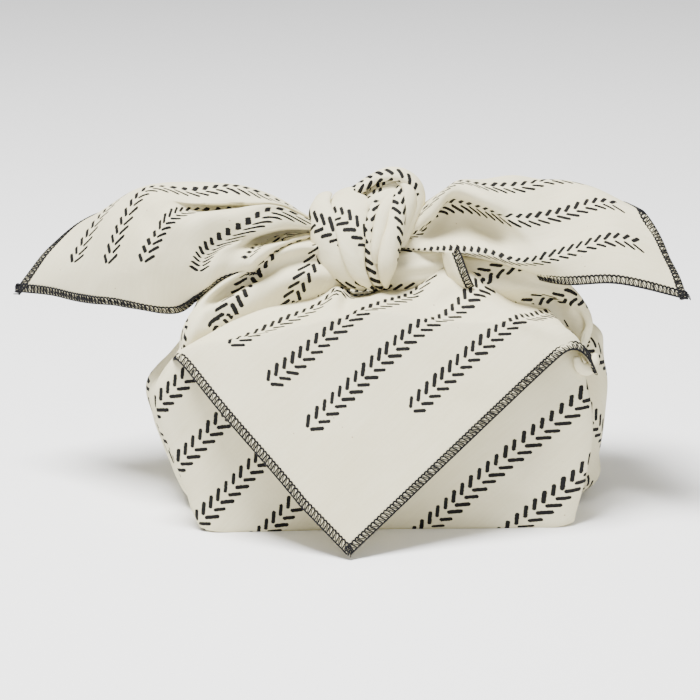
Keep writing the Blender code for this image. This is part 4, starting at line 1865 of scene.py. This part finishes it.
def right_end(wardrobe: Wardrobe) -> SpreadEnd:
    """The end that spreads to the right.

    Args:
        wardrobe: The finishes.

    Returns:
        The end, ready to build.
    """
    lines = (
        Line(
            0, (135, -50, 102), (104, -49, 109), (81, -42, 107), (64, -20, 106),
            (47, -6, 108), (33, -3, 110), (20, -2, 112), (8, -4, 115),
        ),
        Line(
            13, (133, -42, 109), (105, -43, 118), (82, -43, 113.5), (67, -31, 110),
            (50, -16, 111), (34, -12, 114), (19, -9, 115), (8, -7, 117),
        ),
        Line(
            27, (130, -31, 116), (105, -34, 126), (83, -40, 121), (64, -37, 115.5),
            (47, -32, 118.5), (32, -26, 118.5), (18, -17, 117), (8, -8, 117),
        ),
        Line(
            40, (127, -22, 124), (104, -22, 132), (84, -30, 128), (65, -31, 124),
            (47, -16, 125.5), (32, -9, 126), (19, -15, 121), (7, -9, 118),
        ),
        Line(
            52, (122, -14, 132), (102, -10, 137), (83, -20, 134), (63, -28, 133.5),
            (48, -15, 135), (33, -8, 135), (21, -13, 126), (8, -9, 119),
        ),
        Line(
            64, (121, -2, 132), (99, 0, 141), (81, -8, 139), (63, -23, 138.5),
            (48, -24, 141.5), (34, -17, 143), (24, -15, 134), (8, -9, 120),
        ),
        Line(
            77, (117, 12, 131), (99, 14, 140), (82, 8, 144), (64, -8, 144),
            (48, -13, 145.5), (35, -15, 147.5), (26, -14, 140), (9, -7, 123),
        ),
        Line(
            90, (114, 26, 125), (97, 27, 134), (81, 22, 140), (64, 5, 147),
            (48, -4, 147), (36, -9, 147), (25, -9, 139), (10, -4, 125),
        ),
        Line(
            102, (111, 36, 118), (94, 36, 128), (80, 31, 135), (64, 20, 140),
            (48, 8, 143), (35, 0, 143), (23, 0, 136), (10, 0, 126),
        ),
        Line(
            125, (101, 42, 110), (87, 42, 119), (74, 38, 127), (61, 29, 134),
            (46, 17, 139), (33, 8, 140), (22, 5, 134), (10, 3, 126),
        ),
        Line(
            150, (85, 38, 107), (75, 38, 115), (64, 34, 123), (52, 26, 130),
            (39, 17, 134), (29, 11, 135), (20, 7, 132), (11, 5, 125),
        ),
        Line(
            175, (59, 24, 110), (52, 24, 114), (45, 22, 120), (37, 18, 125),
            (29, 14, 129), (22, 11, 130), (16, 8, 128), (12, 6, 124),
        ),
    )
    creases = (
        Crease(Side.SEEN, (45.3, 73), (67.8, 60.4), (93.7, 31.7), 3.0, -2.2, 0.4),
        Crease(Side.SEEN, (44, 65), (60, 53.5), (84, 32), 4.5, 2.6, 0.35),
        Crease(Side.SEEN, (24.2, 49.3), (35.2, 59.4), (41.8, 70.4), 2.8, -2.4, 0.5),
        Crease(Side.SEEN, (28, 47), (39.5, 57.5), (47, 69), 3.0, 3.2, 0.5),
        Crease(Side.SEEN, (100, 58), (116, 48), (134, 40), 9.0, 0.9, 0.5),
    )
    return SpreadEnd("right_end", wardrobe, lines, 1, creases, shown_area=0.0152)


# --------------------------------------------------------------------------- hems


class Stitch(NamedTuple):
    """One of a bead's loops: how steeply it leans, where in the bead it starts, and its thickness."""

    steep: float
    ahead: float
    thickness: float


@dataclass
class SergedHem:
    """Sews the overlocked hems: slanted loops over the edge and threads along it.

    The swing is in radians. The overhang is a share of the width, and the threads' lift a share of
    the height.
    """

    wardrobe: Wardrobe
    tree_name: str = "overlock_stitches"
    width: float = 2.8
    pitch: float = 1.9
    thread: float = 0.45
    fine_thread: float = 0.35
    height: float = 0.5
    lean: float = 0.5
    scallop: float = 0.62
    seed: int = 7
    stitches: tuple[Stitch, ...] = (Stitch(1.0, 0.0, 1.0), Stitch(1.7, 0.5, 0.6))
    swing: float = 0.14
    overhang: float = 0.03
    thread_lift: float = 0.72
    scallop_steps: int = 8
    thread_sides: int = 5
    loop_sides: int = 10

    @property
    def sizes(self) -> dict[str, float]:
        """The sizes that the tree takes.

        Returns:
            Each in millimetres, by the name of its input.
        """
        return {
            "Pitch": self.pitch,
            "Width": self.width,
            "Thread": self.thread,
            "Fine thread": self.fine_thread,
            "Height": self.height,
            "Lean": self.lean,
            "Scallop": self.scallop,
        }

    def profile(self, graph: NodeGraph, radius: Value) -> bpy.types.NodeSocket:
        """The round section of a thread."""
        sockets = {"Resolution": self.thread_sides, "Radius": radius}
        return graph.out("GeometryNodeCurvePrimitiveCircle", {}, sockets)

    def bead(self, graph: NodeGraph, size: dict[str, Value]) -> bpy.types.NodeSocket:
        """Make the loops of one bead.

        Args:
            graph: The tree.
            size: Its sizes, by name.

        Returns:
            The output that carries them.
        """
        sockets = {"Resolution": self.loop_sides, "Radius": 1.0}
        ring = graph.out("GeometryNodeCurvePrimitiveCircle", {}, sockets)
        spot = graph.out("GeometryNodeInputPosition", {}, {})
        parts = graph.node("ShaderNodeSeparateXYZ", {}, {0: spot})
        x, y = Value(graph, parts.outputs[0]), Value(graph, parts.outputs[1])
        inner = 1 - 2 * self.overhang
        loops = []
        for stitch in self.stitches:
            along = size["Pitch"] * stitch.ahead - size["Lean"] * x * stitch.steep
            over = (x + inner) * size["Width"] * 0.5
            bent = graph.out("ShaderNodeCombineXYZ", {}, {0: along, 1: over, 2: y * size["Height"]})
            loop = graph.out("GeometryNodeSetPosition", {}, {"Geometry": ring, "Position": bent})
            thin = self.profile(graph, size["Fine thread"] * stitch.thickness)
            loops.append(graph.out("GeometryNodeCurveToMesh", {}, {0: loop, 1: thin}))
        return graph.joined(loops)

    def turned(self, graph: NodeGraph, inward: Any, seed: Any) -> bpy.types.NodeSocket:
        """Turn a bead across the edge, with a slight swing.

        Args:
            graph: The tree.
            inward: The direction into the cloth.
            seed: Which random swing.

        Returns:
            The output that carries the turn.
        """
        way = graph.out("GeometryNodeInputTangent", {}, {})
        turn = graph.out("FunctionNodeAlignRotationToVector", {"axis": "X"}, {"Vector": way})
        settings = {"axis": "Y", "pivot_axis": "X"}
        turn = graph.out("FunctionNodeAlignRotationToVector", settings, {"Rotation": turn, "Vector": inward})
        sockets = {2: -self.swing, 3: self.swing, "Seed": seed}
        swing = graph.node("FunctionNodeRandomValue", {"data_type": "FLOAT"}, sockets).outputs[1]
        spin = graph.out("ShaderNodeCombineXYZ", {}, {2: swing})
        return graph.out("FunctionNodeRotateRotation", {"rotation_space": "LOCAL"}, {0: turn, 1: spin})

    def tree(self) -> bpy.types.GeometryNodeTree:
        """Build the node tree that sews.

        Returns:
            The tree.
        """
        tree = bpy.data.node_groups.new(self.tree_name, "GeometryNodeTree")
        face = tree.interface
        face.new_socket("Geometry", in_out="INPUT", socket_type="NodeSocketGeometry")
        for name in self.sizes:
            face.new_socket(name, in_out="INPUT", socket_type="NodeSocketFloat")
        face.new_socket("Seed", in_out="INPUT", socket_type="NodeSocketInt")
        face.new_socket("Material", in_out="INPUT", socket_type="NodeSocketMaterial")
        face.new_socket("Geometry", in_out="OUTPUT", socket_type="NodeSocketGeometry")
        graph = NodeGraph(tree)
        given = graph.node("NodeGroupInput", {}, {}).outputs
        size = {name: Value(graph, given[name]) for name in self.sizes}
        pitch, width, height = size["Pitch"], size["Width"], size["Height"]
        inward, facing = (
            graph.out("GeometryNodeInputNamedAttribute", {"data_type": "FLOAT_VECTOR"}, {"Name": name})
            for name in ("inward", "facing")
        )
        line = graph.out("GeometryNodeMeshToCurve", {}, {0: given["Geometry"]})
        beads, close = (
            graph.out("GeometryNodeResampleCurve", {"mode": "LENGTH"}, {"Curve": line, "Length": length})
            for length in (pitch, pitch * (1 / self.scallop_steps))
        )
        turn = self.turned(graph, inward, given["Seed"])
        sockets = {"Points": beads, "Instance": self.bead(graph, size), "Rotation": turn}
        parts = [graph.out("GeometryNodeInstanceOnPoints", {}, sockets)]

        run = Value(graph, graph.node("GeometryNodeSplineParameter", {}, {}).outputs["Length"])
        wave = abs((run / pitch * math.pi).math("SINE")) * size["Scallop"]
        profile = self.profile(graph, size["Thread"])
        threads = ((close, width + wave, 1.0), (line, width * 1.0, -1.0), (line, width * -self.overhang, 0.0))
        for source, into, out in threads:
            lifted = height * out * self.thread_lift
            shift = graph.out("ShaderNodeVectorMath", {"operation": "SCALE"}, {0: inward, "Scale": into})
            lift = graph.out("ShaderNodeVectorMath", {"operation": "SCALE"}, {0: facing, "Scale": lifted})
            offset = graph.out("ShaderNodeVectorMath", {"operation": "ADD"}, {0: shift, 1: lift})
            moved = graph.out("GeometryNodeSetPosition", {}, {"Geometry": source, "Offset": offset})
            parts.append(graph.out("GeometryNodeCurveToMesh", {}, {0: moved, 1: profile}))

        real = graph.out("GeometryNodeRealizeInstances", {}, {0: graph.joined(parts)})
        smooth = graph.out("GeometryNodeSetShadeSmooth", {}, {0: real})
        sockets = {"Geometry": smooth, "Material": given["Material"]}
        graph.node("NodeGroupOutput", {}, {0: graph.out("GeometryNodeSetMaterial", {}, sockets)})
        return tree

    def guide(self, name: str, lines: Sequence[HemLine]) -> bpy.types.Object:
        """Draw the edges that are sewn along.

        Args:
            name: The guide's name.
            lines: For each edge its points, the directions into the cloth and those it faces.

        Returns:
            The object, with both directions kept on its points.
        """
        points, inward, facing, edges = [], [], [], []
        for line, into, out in lines:
            if np.dot(np.cross(line[1] - line[0], into[0]), out[0]) < 0:
                line, into, out = line[::-1], into[::-1], out[::-1]
            start = len(points)
            points += list((line - out * THICKNESS / 2) * MM)
            inward += list(into)
            facing += list(out)
            edges += [(start + i, start + i + 1) for i in range(len(line) - 1)]
        mesh = bpy.data.meshes.new(name)
        mesh.from_pydata([tuple(point) for point in points], edges, [])
        for key, values in (("inward", inward), ("facing", facing)):
            kept = mesh.attributes.new(key, "FLOAT_VECTOR", "POINT").data
            kept.foreach_set("vector", np.array(values, np.float32).ravel())
        return placed(name, mesh)

    def sew(self, name: str, lines: Sequence[HemLine]) -> bpy.types.Object:
        """Sew along edges.

        Args:
            name: The piece's name.
            lines: For each edge its points, the directions into the cloth and those it faces.

        Returns:
            The object.
        """
        guide = self.guide(name + "_line", lines)
        tree = bpy.data.node_groups.get(self.tree_name) or self.tree()
        sewing = guide.modifiers.new("sewing", "NODES")
        sewing.node_group = tree
        inputs = {"Seed": self.seed, "Material": self.wardrobe.thread}
        inputs.update((name, size * MM) for name, size in self.sizes.items())
        for item in tree.interface.items_tree:
            if item.in_out == "INPUT" and item.name in inputs:
                sewing[item.identifier] = inputs[item.name]
        graph = bpy.context.evaluated_depsgraph_get()
        sewn = bpy.data.meshes.new_from_object(guide.evaluated_get(graph))
        bpy.data.objects.remove(guide)
        sewn.name = name
        piece = placed(name, sewn)
        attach(piece, ROOT)
        LOG.info("%s: %d faces", name, len(sewn.polygons))
        return piece


@dataclass
class TurnedEdge:
    """A hemmed bit of edge that turns out beside the knot, under the right end."""

    wardrobe: Wardrobe
    flat: Place = (0.022, 0.012)
    along_hem: float = 150.0
    step: float = 0.8
    faces: Point = (0.4, -1.0, 0.3)
    columns: tuple[tuple[Point, ...], ...] = (
        ((35, -30, 120.4), (31, -27, 119), (28, -21, 118)),
        ((37, -33, 115.2), (33, -30, 114), (29, -23, 112)),
        ((38.6, -35, 110.8), (35, -32.5, 109), (31, -26, 107)),
        ((40, -35.5, 107.4), (36.6, -33, 106), (33, -27, 104)),
        ((41.6, -34, 104.2), (38.6, -32, 103), (35, -27, 101)),
    )

    def build(self, hems: SergedHem) -> bpy.types.Object:
        """Make the piece and its hem.

        Args:
            hems: The machine that sews the hem.

        Returns:
            The object.
        """
        points = loft(self.columns, ringed=False, step=self.step)
        along = lengths(points, 0).mean(axis=1)[:, None]
        across = lengths(points, 1)
        places = np.stack([self.along_hem - along + 0 * across, CLOTH.half - across], axis=-1)
        sheet = Sheet(points, places).face(self.faces)
        piece = finished("turned_edge", [sheet], self.wardrobe)
        declare(piece, self.flat)
        hems.sew("turned_hem", [sheet.hem(Edge.FIRST_COLUMN)])
        return piece


# --------------------------------------------------------------------------- studio


class Lamp(NamedTuple):
    """A soft lamp: its place and the size of its square in metres, and its power in watts."""

    name: str
    place: Point
    size: float
    power: float


@dataclass
class Studio:
    """The floor, the soft lights and the camera. Lengths are in metres, but for the lens."""

    lens: float = 134.4
    nearest: float = 0.01
    floor_half: float = 3.0
    paper: Colour = (0.97, 0.97, 0.97, 1.0)
    paper_roughness: float = 0.9
    sky: Colour = (1.0, 1.0, 1.0, 1.0)
    sky_strength: float = 0.48
    lit: Point = (0.0, 0.0, 0.07)
    lamps: tuple[Lamp, ...] = (
        Lamp("key", (-0.35, -0.3, 1.9), 0.75, 124.0),
        Lamp("fill", (0.2, -1.7, 0.8), 1.4, 7.0),
    )

    def camera(self) -> None:
        """Place the camera on the usual line of sight."""
        back = Vector(SIGHT.back)
        made = bpy.data.cameras.new("camera")
        made.lens = self.lens
        made.clip_start = self.nearest
        eye = placed("camera", made)
        eye.location = (Vector(SIGHT.target) + back * SIGHT.distance) * MM
        eye.rotation_euler = (-back).to_track_quat("-Z", "Y").to_euler()
        bpy.context.scene.camera = eye

    def light(self, lamp: Lamp) -> None:
        """Hang a soft lamp that faces the bundle.

        Args:
            lamp: The lamp.
        """
        made = bpy.data.lights.new(lamp.name, "AREA")
        made.size = lamp.size
        made.energy = lamp.power
        hung = placed(lamp.name, made)
        hung.location = lamp.place
        hung.rotation_euler = (Vector(self.lit) - Vector(lamp.place)).to_track_quat("-Z", "Y").to_euler()

    def floor(self) -> None:
        """Lay the pale floor."""
        mesh = bpy.data.meshes.new("floor")
        half = self.floor_half
        corners = [(-half, -half, 0), (half, -half, 0), (half, half, 0), (-half, half, 0)]
        mesh.from_pydata(corners, [], [(0, 1, 2, 3)])
        paper = bpy.data.materials.new("floor_paper")
        paper.use_nodes = True
        shader = paper.node_tree.nodes["Principled BSDF"]
        shader.inputs["Base Color"].default_value = self.paper
        shader.inputs["Roughness"].default_value = self.paper_roughness
        mesh.materials.append(paper)
        placed("floor", mesh)

    def build(self) -> None:
        """Set up the whole studio."""
        world = bpy.data.worlds.new("studio")
        world.use_nodes = True
        ground = world.node_tree.nodes["Background"]
        ground.inputs["Color"].default_value = self.sky
        ground.inputs["Strength"].default_value = self.sky_strength
        bpy.context.scene.world = world
        self.floor()
        for lamp in self.lamps:
            self.light(lamp)
        self.camera()


def main() -> None:
    """Build the wrap, piece by piece, and the studio round it."""
    logging.basicConfig(level=logging.INFO, format="%(message)s")
    wardrobe = Wardrobe(
        printed=Cotton().material(),
        bare=Cotton(name="bare_cotton", printed=False).material(),
        thread=SergingThread().material(),
    )
    hems = SergedHem(wardrobe)
    WrappedSides(wardrobe).build()
    FrontFlap(wardrobe).build(hems)
    left_arm(wardrobe).build()
    right_arm(wardrobe).build()
    Knot(wardrobe).build()
    left_end(wardrobe).build(hems)
    right_end(wardrobe).build(hems)
    TurnedEdge(wardrobe).build(hems)
    Studio().build()


if __name__ == "__main__":
    main()
